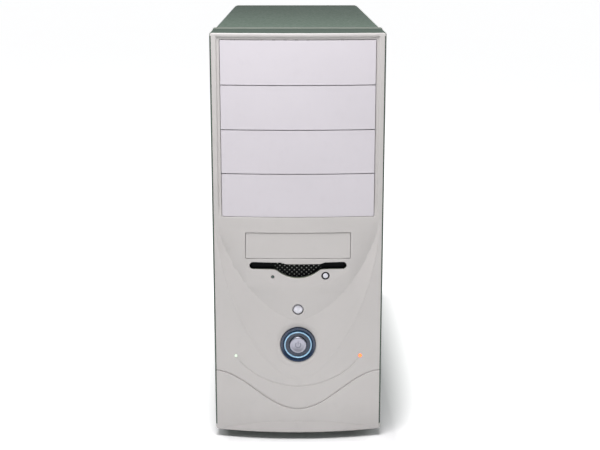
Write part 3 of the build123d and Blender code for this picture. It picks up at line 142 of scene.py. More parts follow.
# ---- materials ----------------------------------------------------------------------------------
class Finish:
    """One node material round a Principled shader, in object coordinates (metres)."""

    def __init__(self, name, colour, roughness, metallic=0.0):
        self.material = bpy.data.materials.new(name)
        self.material.use_nodes = True
        self.tree = self.material.node_tree
        self.tree.nodes.clear()
        self.shader = self.node("ShaderNodeBsdfPrincipled")
        out = self.node("ShaderNodeOutputMaterial")
        self.link(self.shader.outputs[0], out.inputs[0])
        self.shader.inputs["Base Color"].default_value = colour
        self.shader.inputs["Roughness"].default_value = roughness
        self.shader.inputs["Metallic"].default_value = metallic
        self.place = self.node("ShaderNodeTexCoord").outputs["Object"]

    def node(self, kind, **values):
        made = self.tree.nodes.new(kind)
        for key, value in values.items():
            setattr(made, key, value)
        return made

    def link(self, start, end):
        self.tree.links.new(start, end)

    def stretched(self, stretch):
        mapping = self.node("ShaderNodeMapping")
        self.link(self.place, mapping.inputs["Vector"])
        mapping.inputs["Scale"].default_value = stretch
        return mapping.outputs[0]

    def noise(self, size, detail=3.0, roughness=0.5, stretch=None):
        """Noise whose features are about size millimetres across."""
        made = self.node("ShaderNodeTexNoise")
        self.link(self.stretched(stretch) if stretch else self.place, made.inputs["Vector"])
        made.inputs["Scale"].default_value = 1 / (size * MM)
        made.inputs["Detail"].default_value = detail
        made.inputs["Roughness"].default_value = roughness
        return made.outputs["Fac"]

    def cells(self, size, output="Distance", feature="F1", stretch=None):
        made = self.node("ShaderNodeTexVoronoi", feature=feature)
        self.link(self.stretched(stretch) if stretch else self.place, made.inputs["Vector"])
        made.inputs["Scale"].default_value = 1 / (size * MM)
        return made.outputs[output]

    def remap(self, value, low, high, to_low=0.0, to_high=1.0):
        made = self.node("ShaderNodeMapRange")
        self.link(value, made.inputs["Value"])
        numbers = {"From Min": low, "From Max": high, "To Min": to_low, "To Max": to_high}
        for key, number in numbers.items():
            made.inputs[key].default_value = number
        return made.outputs[0]

    def maths(self, operation, a, b):
        made = self.node("ShaderNodeMath", operation=operation)
        for socket, value in zip(made.inputs, (a, b)):
            if isinstance(value, (int, float)):
                socket.default_value = value
            else:
                self.link(value, socket)
        return made.outputs[0]

    def blend(self, amount, a, b):
        """Colour a where amount is 0, b where it is 1; either may be a colour or a socket."""
        made = self.node("ShaderNodeMix", data_type="RGBA")
        self.link(amount, made.inputs[0])
        for socket, value in ((made.inputs[6], a), (made.inputs[7], b)):
            if isinstance(value, tuple):
                socket.default_value = value
            else:
                self.link(value, socket)
        return made.outputs[2]

    def edges(self, radius, low=0.02, high=0.35):
        """1 near convex or concave edges, 0 on the flat."""
        bevel = self.node("ShaderNodeBevel", samples=4)
        bevel.inputs["Radius"].default_value = radius * MM
        flat = self.node("ShaderNodeNewGeometry").outputs["Normal"]
        dot = self.node("ShaderNodeVectorMath", operation="DOT_PRODUCT")
        self.link(bevel.outputs[0], dot.inputs[0])
        self.link(flat, dot.inputs[1])
        return self.remap(dot.outputs["Value"], 1 - low, 1 - high)

    def colour(self, socket):
        self.link(socket, self.shader.inputs["Base Color"])

    def roughness(self, value, low, high):
        self.link(self.remap(value, 0.3, 0.7, low, high), self.shader.inputs["Roughness"])

    def bump(self, *layers):
        """Each layer is (height socket, depth in millimetres); strength is 1."""
        normal = None
        for height, depth in layers:
            made = self.node("ShaderNodeBump")
            made.inputs["Distance"].default_value = depth * MM
            self.link(height, made.inputs["Height"])
            if normal:
                self.link(normal, made.inputs["Normal"])
            normal = made.outputs[0]
        self.link(normal, self.shader.inputs["Normal"])


def shade(colour, factor):
    return (*[min(1.0, channel * factor) for channel in colour[:3]], 1.0)


def moulded_plastic(name, colour, roughness=0.42, grain=0.03, variation=0.05, shine=0.5):
    """Spark-textured ABS: fine grain, slight mottling, rubbed edges."""
    made = Finish(name, colour, roughness)
    mottle = made.noise(60, 4)
    grime = made.noise(9, 5, 0.6)
    base = made.blend(mottle, shade(colour, 1 - variation), shade(colour, 1 + variation))
    base = made.blend(made.remap(grime, 0.55, 0.8, 0, 0.35), base, shade(colour, 0.9))
    made.colour(made.blend(made.edges(0.6), base, shade(colour, 1.1)))
    made.roughness(made.noise(1.6, 4, 0.7), roughness - 0.07, roughness + 0.1)
    made.bump((made.noise(0.55, 2), grain), (made.noise(14, 2), 0.05))
    made.shader.inputs["Specular IOR Level"].default_value = shine
    return made.material


def painted_steel(name, colour, worn):
    """Powder coat on sheet steel: orange peel, rubbed edges, faint scuffs."""
    made = Finish(name, colour, 0.45)
    mottle = made.noise(90, 4)
    base = made.blend(mottle, shade(colour, 0.93), shade(colour, 1.08))
    scuff = made.noise(5, 6, 0.75, (1.0, 0.12, 1.0))
    base = made.blend(made.remap(scuff, 0.66, 0.78, 0, 0.3), base, shade(colour, 1.35))
    edge = made.maths("MULTIPLY", made.edges(0.9), made.remap(made.noise(4, 5, 0.7), 0.42, 0.6))
    made.colour(made.blend(edge, base, worn))
    made.roughness(made.noise(3, 4, 0.6), 0.36, 0.55)
    made.bump((made.noise(1.3, 2), 0.06), (made.noise(45, 2), 0.25))
    made.shader.inputs["Specular IOR Level"].default_value = 0.2
    return made.material


def zinc_steel(name, colour=linear(176, 179, 178)):
    """Galvanised sheet: spangle, rolling lines, dull patches."""
    made = Finish(name, colour, 0.4, 1.0)
    spangle = made.cells(7, "Color")
    grey = made.node("ShaderNodeRGBToBW")
    made.link(spangle, grey.inputs[0])
    lines = made.noise(3, 3, 0.6, (1.0, 0.05, 1.0))
    patches = made.remap(grey.outputs[0], 0.1, 0.9)
    base = made.blend(patches, shade(colour, 0.86), shade(colour, 1.1))
    base = made.blend(made.remap(lines, 0.4, 0.7, 0, 0.4), base, shade(colour, 0.9))
    made.colour(made.blend(made.edges(0.5), base, shade(colour, 1.25)))
    mixed = made.maths("ADD", made.remap(grey.outputs[0], 0, 1, -0.12, 0.12), made.noise(20, 4))
    made.roughness(mixed, 0.3, 0.5)
    made.bump((lines, 0.02), (made.noise(60, 2), 0.3))
    return made.material


def bright_metal(name, colour, roughness=0.22, stretch=(1.0, 1.0, 1.0)):
    made = Finish(name, colour, roughness, 1.0)
    streak = made.noise(1.2, 4, 0.6, stretch)
    made.colour(made.blend(made.remap(streak, 0.35, 0.7), shade(colour, 0.88), shade(colour, 1.08)))
    made.roughness(streak, roughness - 0.05, roughness + 0.12)
    made.bump((streak, 0.012), (made.noise(8, 3), 0.02))
    return made.material


def moulded_black(name, colour=linear(30, 30, 32), roughness=0.45):
    made = Finish(name, colour, roughness)
    dust = made.noise(12, 6, 0.7)
    base = made.blend(made.remap(dust, 0.5, 0.75, 0, 0.5), colour, shade(colour, 1.7))
    made.colour(made.blend(made.edges(0.5), base, shade(colour, 2.4)))
    made.roughness(made.noise(2, 4, 0.6), roughness - 0.08, roughness + 0.14)
    made.bump((made.noise(0.5, 2), 0.02), (made.noise(20, 2), 0.05))
    made.shader.inputs["Specular IOR Level"].default_value = 0.3
    return made.material


def knurled_black(name, colour, dot):
    """Black moulding with staggered rows of small raised dots in its middle; the dots are coloured
    light grey, a painted highlight on each.
    """
    made = Finish(name, colour, 0.4)
    place = made.node("ShaderNodeSeparateXYZ")
    made.link(made.place, place.inputs[0])
    across = made.maths("MULTIPLY", place.outputs[0], 2 * math.pi / (4.8 * MM))
    up = made.maths("MULTIPLY", place.outputs[2], 2 * math.pi / (4.4 * MM))
    wave = made.maths("MULTIPLY", made.maths("SINE", across, 0), made.maths("SINE", up, 0))
    middle = made.remap(made.maths("ABSOLUTE", place.outputs[0], 0), 20 * MM, 24 * MM, 1, 0)
    dots = made.maths("MULTIPLY", made.remap(wave, 0.45, 0.75), middle)
    grain = made.noise(2, 4, 0.6)
    base = made.blend(grain, shade(colour, 0.8), shade(colour, 1.3))
    # The dot colour is a painted highlight on the raised dots.
    made.colour(made.blend(dots, base, dot))
    made.roughness(grain, 0.34, 0.52)
    made.bump((dots, 0.3), (grain, 0.02))
    made.shader.inputs["Specular IOR Level"].default_value = 0.05
    return made.material


def rubber(name):
    made = Finish(name, linear(34, 34, 34), 0.75)
    dust = made.noise(5, 6, 0.7)
    made.colour(made.blend(made.remap(dust, 0.45, 0.75), linear(28, 28, 28), linear(70, 68, 65)))
    made.roughness(made.noise(1.5, 4), 0.62, 0.86)
    made.bump((made.noise(0.8, 3), 0.05))
    return made.material


def circuit_board(name, colour, copper, steel_from=None):
    """Solder mask over copper tracks, with small plated holes; steel behind the Y steel_from."""
    made = Finish(name, colour, 0.3)
    wander = made.noise(11, 2, 0.4)
    track = made.cells(5.5, "Distance", "DISTANCE_TO_EDGE", (1.0, 1.0, 0.35))
    track = made.maths("ADD", track, made.remap(wander, 0.3, 0.7, -0.03, 0.03))
    tracks = made.remap(track, 0.05, 0.08, 1, 0)
    base = made.blend(tracks, colour, shade(colour, 1.55))
    holes = made.remap(made.cells(3.4), 0.13, 0.17, 1, 0)
    made.colour(made.blend(holes, base, copper))
    made.roughness(made.noise(6, 4), 0.22, 0.42)
    made.bump((tracks, 0.04), (holes, 0.06), (made.noise(1.5, 2), 0.01))
    made.shader.inputs["Coat Weight"].default_value = 0.3
    made.shader.inputs["Coat Roughness"].default_value = 0.15
    if steel_from:
        depth = made.node("ShaderNodeSeparateXYZ")
        made.link(made.place, depth.inputs[0])
        steel = made.remap(depth.outputs[1], steel_from, steel_from + 0.1 * MM)
        plate = made.blend(made.noise(7, 3), linear(150, 153, 152), linear(182, 185, 184))
        made.colour(made.blend(steel, made.blend(holes, base, copper), plate))
        made.link(steel, made.shader.inputs["Metallic"])
    return made.material


def glossy(name, colour, roughness=0.16, glow=None, strength=0.0, coat=0.6):
    """Lacquered moulding with faint swirls; it may glow."""
    made = Finish(name, colour, roughness)
    swirl = made.noise(3, 5, 0.6)
    made.colour(made.blend(made.remap(swirl, 0.3, 0.7), shade(colour, 0.9), shade(colour, 1.1)))
    made.roughness(made.noise(1.2, 5, 0.7), roughness - 0.05, roughness + 0.12)
    made.bump((made.noise(2.5, 3), 0.02), (made.noise(0.4, 2), 0.004))
    made.shader.inputs["Coat Weight"].default_value = coat
    made.shader.inputs["Coat Roughness"].default_value = 0.08
    if glow:
        made.shader.inputs["Emission Color"].default_value = glow
        made.shader.inputs["Emission Strength"].default_value = strength
    return made.material


PLASTIC = linear(176, 173, 171)
COVER = linear(188, 184, 189)
# Steel cover colour: darker than the case's real light paint, painted shade for its shaded top,
# carried onto the side panels too.
CABINET_SHADED_PAINT = linear(84, 99, 88)
COPPER = linear(190, 170, 120)
BOARD = linear(24, 78, 44)
CARD_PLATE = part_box("rear_plate")[1].y - 2.2 * MM  # Y of the graphics card's steel plate
M = {
    "bezel": moulded_plastic("bezel_plastic", PLASTIC),
    "cover": moulded_plastic("cover_plastic", COVER, 0.4, 0.02, 0.03),
    # Hood colour for the bezel's top and side returns and the front's rounded outer edge: painted
    # shade.
    "hood": moulded_plastic("hood_plastic_painted_shade", linear(68, 80, 72), 0.55, 0.04, 0.06, 0.2),
    # The slot's wall is bezel plastic coloured darker and greener: painted shade inside the slot.
    "slot_wall": moulded_plastic("slot_wall_painted_shade", linear(134, 139, 124), 0.5),
    "cabinet": painted_steel("cabinet_paint", CABINET_SHADED_PAINT, linear(150, 158, 152)),
    "steel": zinc_steel("bare_steel"),
    "screw": bright_metal("screw_steel", linear(200, 199, 194), 0.25),
    "rubber": rubber("foot_rubber"),
    "blue": glossy("blue_lens", linear(14, 36, 62), 0.2, coat=0.25),
    # The rim at the seam is a real raised rim, coloured lighter than the hood: a painted highlight
    # along the seam.
    "rim": moulded_plastic("rim_plastic_painted_highlight", linear(112, 118, 110), 0.5),
    # The chrome trim glows faintly though it is no lamp: a painted sheen.
    "bright": glossy("bright_trim", linear(142, 182, 208), 0.1, linear(150, 195, 240), 0.06),
    "silver": bright_metal("silver_lacquer", linear(154, 154, 165), 0.33),
    "white": glossy("white_button", linear(198, 198, 205), 0.2),
    # The unlit power lamp glows faintly: a painted highlight.
    "lamp_off": glossy("power_lamp_painted_glow", linear(214, 226, 212), 0.1, linear(235, 255, 232), 0.22),
    "lamp_lit": glossy("disk_lamp", linear(250, 120, 60), 0.1, linear(255, 96, 40), 2.2),
    "lamp_dark": glossy("floppy_lamp", linear(70, 84, 80), 0.12),
    "mark": glossy("mark_paint", linear(84, 86, 98), 0.4),
    "orange": glossy("selector_plastic", linear(205, 40, 30), 0.3),
    "black": moulded_black("black_plastic"),
    "flap": knurled_black("flap_plastic_dot_highlights", linear(11, 12, 14), linear(130, 134, 128)),
    "board": circuit_board("board_green", BOARD, COPPER),
    "card": circuit_board("card_green", BOARD, COPPER, CARD_PLATE),
    "board_brown": circuit_board("board_brown", linear(132, 94, 52), COPPER),
    "fins": bright_metal("heatsink_metal", linear(196, 198, 200), 0.32, (1.0, 1.0, 0.06)),
    "drive": bright_metal("drive_metal", linear(150, 152, 154), 0.42),
    "ivory": moulded_plastic("socket_plastic", linear(222, 215, 190), 0.4),
    "card_white": moulded_plastic("card_plastic", linear(228, 226, 214), 0.4),
}
NODE_MATERIALS = {
    "bezel": ["small_bay_cover"],
    "cover": ["bay_cover_1", "bay_cover_2", "bay_cover_3", "bay_cover_4"],
    "cabinet": ["top_cover", "left_side_panel", "right_side_panel"],
    "steel": [
        "base_pan", "front_plate", "rear_plate", "top_rails", "motherboard_tray", "bay_cage",
        "small_cage", "psu_case", "io_shield", "slot_brackets",
    ],
    "screw": ["psu_fan_guard", "left_thumbscrews", "right_thumbscrews", "chassis_screws"],
    "rubber": ["feet"],
    "blue": ["power_ring"],
    "bright": ["power_ring_trim"],
    "silver": ["power_button"],
    "white": ["reset_button", "eject_button"],
    "lamp_off": ["power_led"],
    "lamp_lit": ["disk_led"],
    "lamp_dark": ["floppy_led"],
    "orange": ["voltage_selector"],
    "black": [
        "speaker", "psu_fan_frame", "psu_fan_rotor", "mains_inlet", "mains_switch_housing",
        "mains_switch_rocker", "selector_housing", "cooler_fan_frame", "cooler_fan_rotor",
        "memory_sockets", "floppy_face", "board_parts",
    ],
    "flap": ["floppy_flap"],
    "board": ["switch_board", "motherboard", "memory_modules", "hard_drive_board"],
    "card": ["graphics_card"],
    "board_brown": ["psu_board"],
    "fins": ["processor_heatsink", "graphics_heatsink"],
    "drive": ["floppy_drive", "hard_drive"],
    "ivory": ["processor_socket", "rear_ports"],
    "card_white": ["card_sockets"],
    "hood": ["front_bezel"],
}


def dress_cad_nodes():
    for key, nodes in NODE_MATERIALS.items():
        for node in nodes:
            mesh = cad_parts[node].data
            mesh.materials.clear()
            mesh.materials.append(M[key])


# ---- the bezel's surface ------------------------------------------------------------------------
bezel_low, bezel_high = (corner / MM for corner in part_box("front_bezel"))
HALF = bezel_high.x
BASE = bezel_low.z
APEX = bezel_low.y + LIP
FRONT = APEX + BOW
SEAM = FRONT + BEZEL_DEPTH
TOP = bezel_high.z - BEZEL_TOP_DROP - BASE
BOW_RADIUS = (HALF**2 + BOW**2) / (2 * BOW)
LIP_RADIUS = (HALF**2 + (BOW + LIP) ** 2) / (2 * (BOW + LIP))


def bowed(x):
    """Y of the plain bowed front."""
    return APEX + BOW_RADIUS - np.sqrt(BOW_RADIUS**2 - x * x)


def lipped(x, z):
    """Y of the bottom edge's forward flare."""
    radius = LIP_RADIUS - LIP * clamp01(z / LIP_RISE)
    return APEX - LIP + LIP_RADIUS - np.sqrt(radius**2 - x * x)


def skirt_line(x):
    return SKIRT_LOW + SKIRT_RISE * (1 - np.cos(math.pi * x / HALF)) / 2


def skirt_distance(x, z):
    slope = SKIRT_RISE / 2 * math.pi / HALF * np.sin(math.pi * x / HALF)
    return (z - skirt_line(x)) / np.sqrt(1 + slope * slope)


def skirt_relief(x, z):
    """The front above the skirt lies a step behind it; the step fades out upwards."""
    d = skirt_distance(x, z)
    round_part = SKIRT_STEP - np.sqrt(SKIRT_STEP**2 - np.clip(d + SKIRT_STEP, 0, SKIRT_STEP) ** 2)
    fade = 1 - clamp01((z - skirt_line(x) - 4) / (SKIRT_FADE - skirt_line(x)))
    above = SKIRT_STEP * fade + 0.5 * np.exp(-((np.maximum(d, 0) / 0.7) ** 2))
    return np.where(d < 0, round_part, above)


def oval(x, z, half, top, fall, power):
    """Under 1 inside the lower half of a superellipse that hangs from height top."""
    return (np.abs(x) / half) ** power + (np.maximum(top - z, 0) / fall) ** power


def inner_oval(x, z):
    return oval(x, z, *INNER_OVAL)


def outer_oval(x, z):
    return oval(x, z, *OUTER_OVAL)


def dish_relief(x, z):
    """Sinks towards the inner oval, then slopes forward again to the outer one.

    It leaves the small bay's surroundings flat and stays shallow over the floppy drive's corners.
    """
    inner = inner_oval(x, z)
    outside = np.maximum(inner - 1, 0)
    inside = np.maximum(1 - outer_oval(x, z), 0)
    band = np.where(inside > 0, inside / np.maximum(inside + outside, 1e-9), 0.0)
    sink = np.where(outside > 0, band, np.clip(inner, 0, 1) ** DISH_POWER)
    middle = (1 - smooth((214 - z) / 45)) * (1 - smooth((np.abs(x) - 53) / 15))
    over_drive = smooth((60 - np.abs(x)) / 10) * smooth((z - 144) / 10)
    fade = smooth((OUTER_OVAL[1] - z) / 40)
    return DISH_DEPTH * sink * fade * (1 - middle) * (1 - 0.3 * over_drive)


def oval_ridge(x, z):
    """Thin raised line along the outer oval."""
    d = (outer_oval(x, z) - 1) * 60
    return -RIDGE_HEIGHT * np.exp(-((d / 0.9) ** 2)) * smooth((215 - z) / 30)


def crescent_line(x):
    return CRESCENT_CENTRE - np.sqrt(CRESCENT_RADIUS**2 - np.minimum(np.abs(x), 60) ** 2)


def crescent_relief(x, z):
    """Falls back towards the disk slot's lower edge."""
    share = clamp01((z - crescent_line(x)) / CRESCENT_FALL)
    share = share * (1 - smooth((z - 172) / 6.3)) * (1 - smooth((np.abs(x) - 43) / 10))
    return CRESCENT_DEPTH * share


def lamp_groove(x, z):
    """Thin groove that joins the two lamps in an arc."""
    d = np.hypot(x, z - GROOVE_CENTRE) - GROOVE_RADIUS
    ends = 1 - smooth((np.abs(x) - GROOVE_HALF) / 2.5)
    return np.where(z < POWER_UP - 2, GROOVE_DEPTH * ends * np.exp(-((d / 0.6) ** 2)), 0.0)


def button_dish(x, z):
    """Shallow seat round the power button's ring."""
    return 0.6 * (1 - smooth((np.hypot(x, z - POWER_UP) - 20.0) / 4.5))


def frame_relief(x, z):
    """A step down to a narrow ledge round the large bays."""
    d = np.maximum(np.abs(x) - bay_half, z - bay_top)
    share = 1 - smooth((d - FRAME_LEDGE) / FRAME_STEP_WIDTH)
    return FRAME_FALL * share * smooth((z - bay_bottom + 2) / 14)


def front_y(x, z):
    """Y of the finished front surface at x and height z."""
    relief = skirt_relief(x, z) + dish_relief(x, z) + crescent_relief(x, z)
    relief = relief + lamp_groove(x, z) + button_dish(x, z) + frame_relief(x, z) + oval_ridge(x, z)
    plain = bowed(x)
    above_lens = z - lens_line(x)
    relief = relief + 0.25 * np.exp(-(((above_lens - 0.4) / 0.7) ** 2)) * smooth(lens_line(x) / 3)
    return np.where(z < LIP_RISE, np.minimum(plain + relief, lipped(x, z)), plain + relief)


# ---- outlines of the bezel's openings -----------------------------------------------------------
def rounded_rectangle(x0, x1, z0, z1, radius):
    across = max(2, int((x1 - x0) / CURVE_STEP))
    along = max(2, int((z1 - z0) / CURVE_STEP))
    return rectangle_points(x0, x1, z0, z1, radius, across, along)


def rectangle_points(x0, x1, z0, z1, radius, across, along):
    """Closed outline, anticlockwise, with the same number of points for any inset of it."""
    points = []
    sides = (
        ((x1 - radius, z0 + radius), -90, along, (x1, z0 + radius), (x1, z1 - radius)),
        ((x1 - radius, z1 - radius), 0, across, (x1 - radius, z1), (x0 + radius, z1)),
        ((x0 + radius, z1 - radius), 90, along, (x0, z1 - radius), (x0, z0 + radius)),
        ((x0 + radius, z0 + radius), 180, across, (x0 + radius, z0), (x1 - radius, z0)),
    )
    for (cx, cz), start, count, first, last in sides:
        for k in range(CORNER_POINTS):
            angle = math.radians(start + 90 * k / CORNER_POINTS)
            points.append((cx + radius * math.cos(angle), cz + radius * math.sin(angle)))
        for k in range(count):
            t = k / count
            points.append(tuple(a + (b - a) * t for a, b in zip(first, last)))
    return np.array(points)


def circle_outline(x, z, radius, count=64):
    angle = np.arange(count) * 2 * math.pi / count
    return np.column_stack([x + radius * np.cos(angle), z + radius * np.sin(angle)])


def slot_outline():
    """The disk slot with the thumb notch below and a shallow ledge above, anticlockwise."""
    half_height = SLOT_OPENING / 2
    straight = SLOT_HALF - half_height
    radius = (NOTCH_HALF**2 + NOTCH_DEPTH**2) / (2 * NOTCH_DEPTH)
    x = np.arange(-straight, straight, 0.7)
    bulge = np.sqrt(radius**2 - np.minimum(np.abs(x), radius * 0.99) ** 2) - (radius - NOTCH_DEPTH)
    notch = (bulge + np.sqrt(bulge * bulge + 1.5)) / 2
    notch = notch * (1 - smooth((np.abs(x) - NOTCH_HALF) / 8))
    lower = np.column_stack([x, SLOT_UP - half_height - notch])
    past_ledge = np.abs(x[::-1] - LEDGE_X) - LEDGE_HALF * 0.72
    ledge = LEDGE_DEPTH * (1 - smooth(past_ledge / (LEDGE_HALF * 0.3)))
    upper = np.column_stack([x[::-1], SLOT_UP + half_height - ledge])
    ends = []
    for side in (1, -1):
        angle = np.radians(np.linspace(-90, 90, 12)) + (0 if side == 1 else math.pi)
        arc_x = side * straight + half_height * np.cos(angle)
        ends.append(np.column_stack([arc_x, SLOT_UP + half_height * np.sin(angle)]))
    return np.vstack([lower[1:], ends[0], upper[1:], ends[1]])


def outward(points):
    """Unit normals that point out of a closed anticlockwise outline."""
    tangent = np.roll(points, -1, axis=0) - np.roll(points, 1, axis=0)
    tangent /= np.maximum(np.linalg.norm(tangent, axis=1, keepdims=True), 1e-9)
    return np.column_stack([tangent[:, 1], -tangent[:, 0]])


def contains(points, outline):
    """Which points lie inside a closed outline."""
    inside = np.zeros(len(points), bool)
    x, z = points[:, 0], points[:, 1]
    for (x0, z0), (x1, z1) in zip(outline, np.roll(outline, -1, axis=0)):
        crosses = (z0 > z) != (z1 > z)
        if z1 != z0:
            inside ^= crosses & (x < (x1 - x0) * (z - z0) / (z1 - z0) + x0)
    return inside


def distance_to(points, outline):
    """Distance from each point to the nearest point of an outline."""
    best = np.full(len(points), 1e9)
    for start in range(0, len(points), 4000):
        part = points[start : start + 4000]
        gap = part[:, None, :] - outline[None, :, :]
        best[start : start + 4000] = np.sqrt((gap**2).sum(axis=2)).min(axis=1)
    return best


def node_rectangle(*nodes):
    """The opening round some covers: x half-width, lowest and highest height."""
    lows = [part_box(node)[0] / MM for node in nodes]
    highs = [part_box(node)[1] / MM for node in nodes]
    half = max(high.x for high in highs) + COVER_GAP
    low = min(low.z for low in lows) - BASE - COVER_GAP
    return half, low, max(high.z for high in highs) - BASE + COVER_GAP


def node_centre(node):
    low, high = (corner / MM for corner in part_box(node))
    return (low.x + high.x) / 2, (low.z + high.z) / 2 - BASE, (high.x - low.x) / 2


bay_half, bay_bottom, bay_top = node_rectangle(*[f"bay_cover_{n}" for n in (1, 2, 3, 4)])
small_half, small_bottom, small_top = node_rectangle("small_bay_cover")


def bezel_openings():
    """Outline of each opening, and how far back its wall goes (None: only the wall)."""
    ring_x, ring_z, _ = node_centre("power_ring_trim")
    reset_x, reset_z, reset_r = node_centre("reset_button")
    eject_x, eject_z, eject_r = node_centre("eject_button")
    found = [
        (rounded_rectangle(-bay_half, bay_half, bay_bottom, bay_top, 0.8), FRONT + 12),
        (rounded_rectangle(-small_half, small_half, small_bottom, small_top, 0.6), FRONT - 0.3),
        (slot_outline(), FRONT + 0.3),
        (circle_outline(ring_x, ring_z, RING_HOLE, 120), None),
        (circle_outline(reset_x, reset_z, reset_r + 0.3, 48), FRONT + 5),
        (circle_outline(eject_x, eject_z, eject_r + 0.4, 40), None),
    ]
    for lamp in ("power_led", "disk_led", "floppy_led"):
        x, z, radius = node_centre(lamp)
        found.append((circle_outline(x, z, radius + 0.1, 24), None))
    return found


def feature_points():
    """Rows of points along the surface's creases, so that they come out crisp."""
    rows = []
    x = np.arange(-HALF + 2.5, HALF - 2.5, CURVE_STEP)
    slope = SKIRT_RISE / 2 * math.pi / HALF * np.sin(math.pi * x / HALF)
    length = np.sqrt(1 + slope * slope)
    for d in (-1.0, -0.8, -0.55, -0.3, -0.12, -0.01, 0.01, 0.3, 0.7, 1.2, 1.9):
        rows.append(np.column_stack([x - slope / length * d, skirt_line(x) + d / length]))
    angle = np.radians(np.arange(-142, -37.9, 0.6))
    for d in (-1.2, -0.8, -0.4, 0.0, 0.4, 0.8, 1.2):
        reach = GROOVE_RADIUS + d
        rows.append(np.column_stack([reach * np.cos(angle), GROOVE_CENTRE + reach * np.sin(angle)]))
    for d in (-0.5, 0.0, 0.5):
        lens = np.arange(-76, 76, CURVE_STEP)
        rows.append(np.column_stack([lens, lens_line(lens) + d]))
        moon = np.arange(-47, 47, CURVE_STEP)
        rows.append(np.column_stack([moon, crescent_line(moon) + d]))
    for d in (2.3, 2.7, 3.1, 3.5, 3.8, 4.3):
        z = np.arange(bay_bottom, bay_top + d, CURVE_STEP)
        x = np.arange(-bay_half - d, bay_half + d, CURVE_STEP)
        rows += [np.column_stack([np.full(len(z), side * (bay_half + d)), z]) for side in (-1, 1)]
        rows.append(np.column_stack([x, np.full(len(x), bay_top + d)]))
    angle = np.radians(np.arange(1, 179.5, 0.5))
    half, top, fall, power = OUTER_OVAL
    for scale in (0.985, 0.9925, 1.0, 1.0075, 1.015):
        px = half * scale * np.sign(np.cos(angle)) * np.abs(np.cos(angle)) ** (2 / power)
        pz = top - fall * scale * np.abs(np.sin(angle)) ** (2 / power)
        rows.append(np.column_stack([px, pz]))
    return np.vstack(rows)


def lens_line(x):
    """Height at which the bottom flare meets the bowed front."""
    reach = bowed(x) - (APEX - LIP + LIP_RADIUS)
    radius = np.sqrt(reach * reach + x * x)
    return clamp01((LIP_RADIUS - radius) / LIP) * LIP_RISE


def rounding(d, radius):
    """How far a rounded edge falls back at distance d from where it ends."""
    inner = np.clip(radius - d, 0, radius)
    return radius - np.sqrt(np.maximum(radius**2 - inner**2, 0))


def front_normals(points, away, d, radius):
    """Normals of the front surface, tilted over where it rolls round an edge."""
    step = 0.02
    x, z = points[:, 0], points[:, 1]
    slope_x = (front_y(x + step, z) - front_y(x - step, z)) / (2 * step)
    slope_z = (front_y(x, z + step) - front_y(x, z - step)) / (2 * step)
    inner = np.clip(radius - d, 0, radius * 0.9995)
    roll = -inner / np.sqrt(radius**2 - inner**2)
    slope_x = slope_x + away[:, 0] * roll
    slope_z = slope_z + away[:, 1] * roll
    normal = np.column_stack([slope_x, -np.ones(len(points)), slope_z])
    return normal / np.linalg.norm(normal, axis=1, keepdims=True)


def triangulate(points, loops, outline, holes):
    """Constrained triangles of the points inside the outline and outside the holes."""
    edges = []
    for first, count in loops:
        edges += [(first + k, first + (k + 1) % count) for k in range(count)]
    result = delaunay_2d_cdt([Vector(p) for p in points], edges, [], 0, 1e-5)
    flat = np.array([tuple(v) for v in result[0]])
    source = np.array([ids[0] if ids else -1 for ids in result[3]])
    triangles = np.array([tuple(f) for f in result[2]])
    middle = flat[triangles].mean(axis=1)
    keep = contains(middle, outline)
    for hole in holes:
        keep &= ~contains(middle, hole)
    return source, triangles[keep]


class Surface:
    """Gathers faces with their own corner normals and material numbers."""

    def __init__(self):
        self.points = []
        self.faces = []
        self.normals = []
        self.materials = []

    def add_points(self, points):
        start = len(self.points)
        self.points.extend([tuple(p) for p in points])
        return start

    def add_face(self, corners, normals, material):
        self.faces.append(tuple(corners))
        self.normals.extend([tuple(n) for n in normals])
        self.materials.append(material)

    def object(self, name, materials, body, slot, *replaced):
        mesh = bpy.data.meshes.new(name)
        mesh.from_pydata([(x * MM, y * MM, z * MM) for x, y, z in self.points], [], self.faces)
        for material in materials:
            mesh.materials.append(material)
        mesh.polygons.foreach_set("material_index", self.materials)
        mesh.polygons.foreach_set("use_smooth", [True] * len(self.faces))
        mesh.normals_split_custom_set(self.normals)
        mesh.update()
        return new_object(name, mesh, body, slot, *replaced)


def in_space(points, y):
    return np.column_stack([points[:, 0], y, points[:, 1] + BASE])


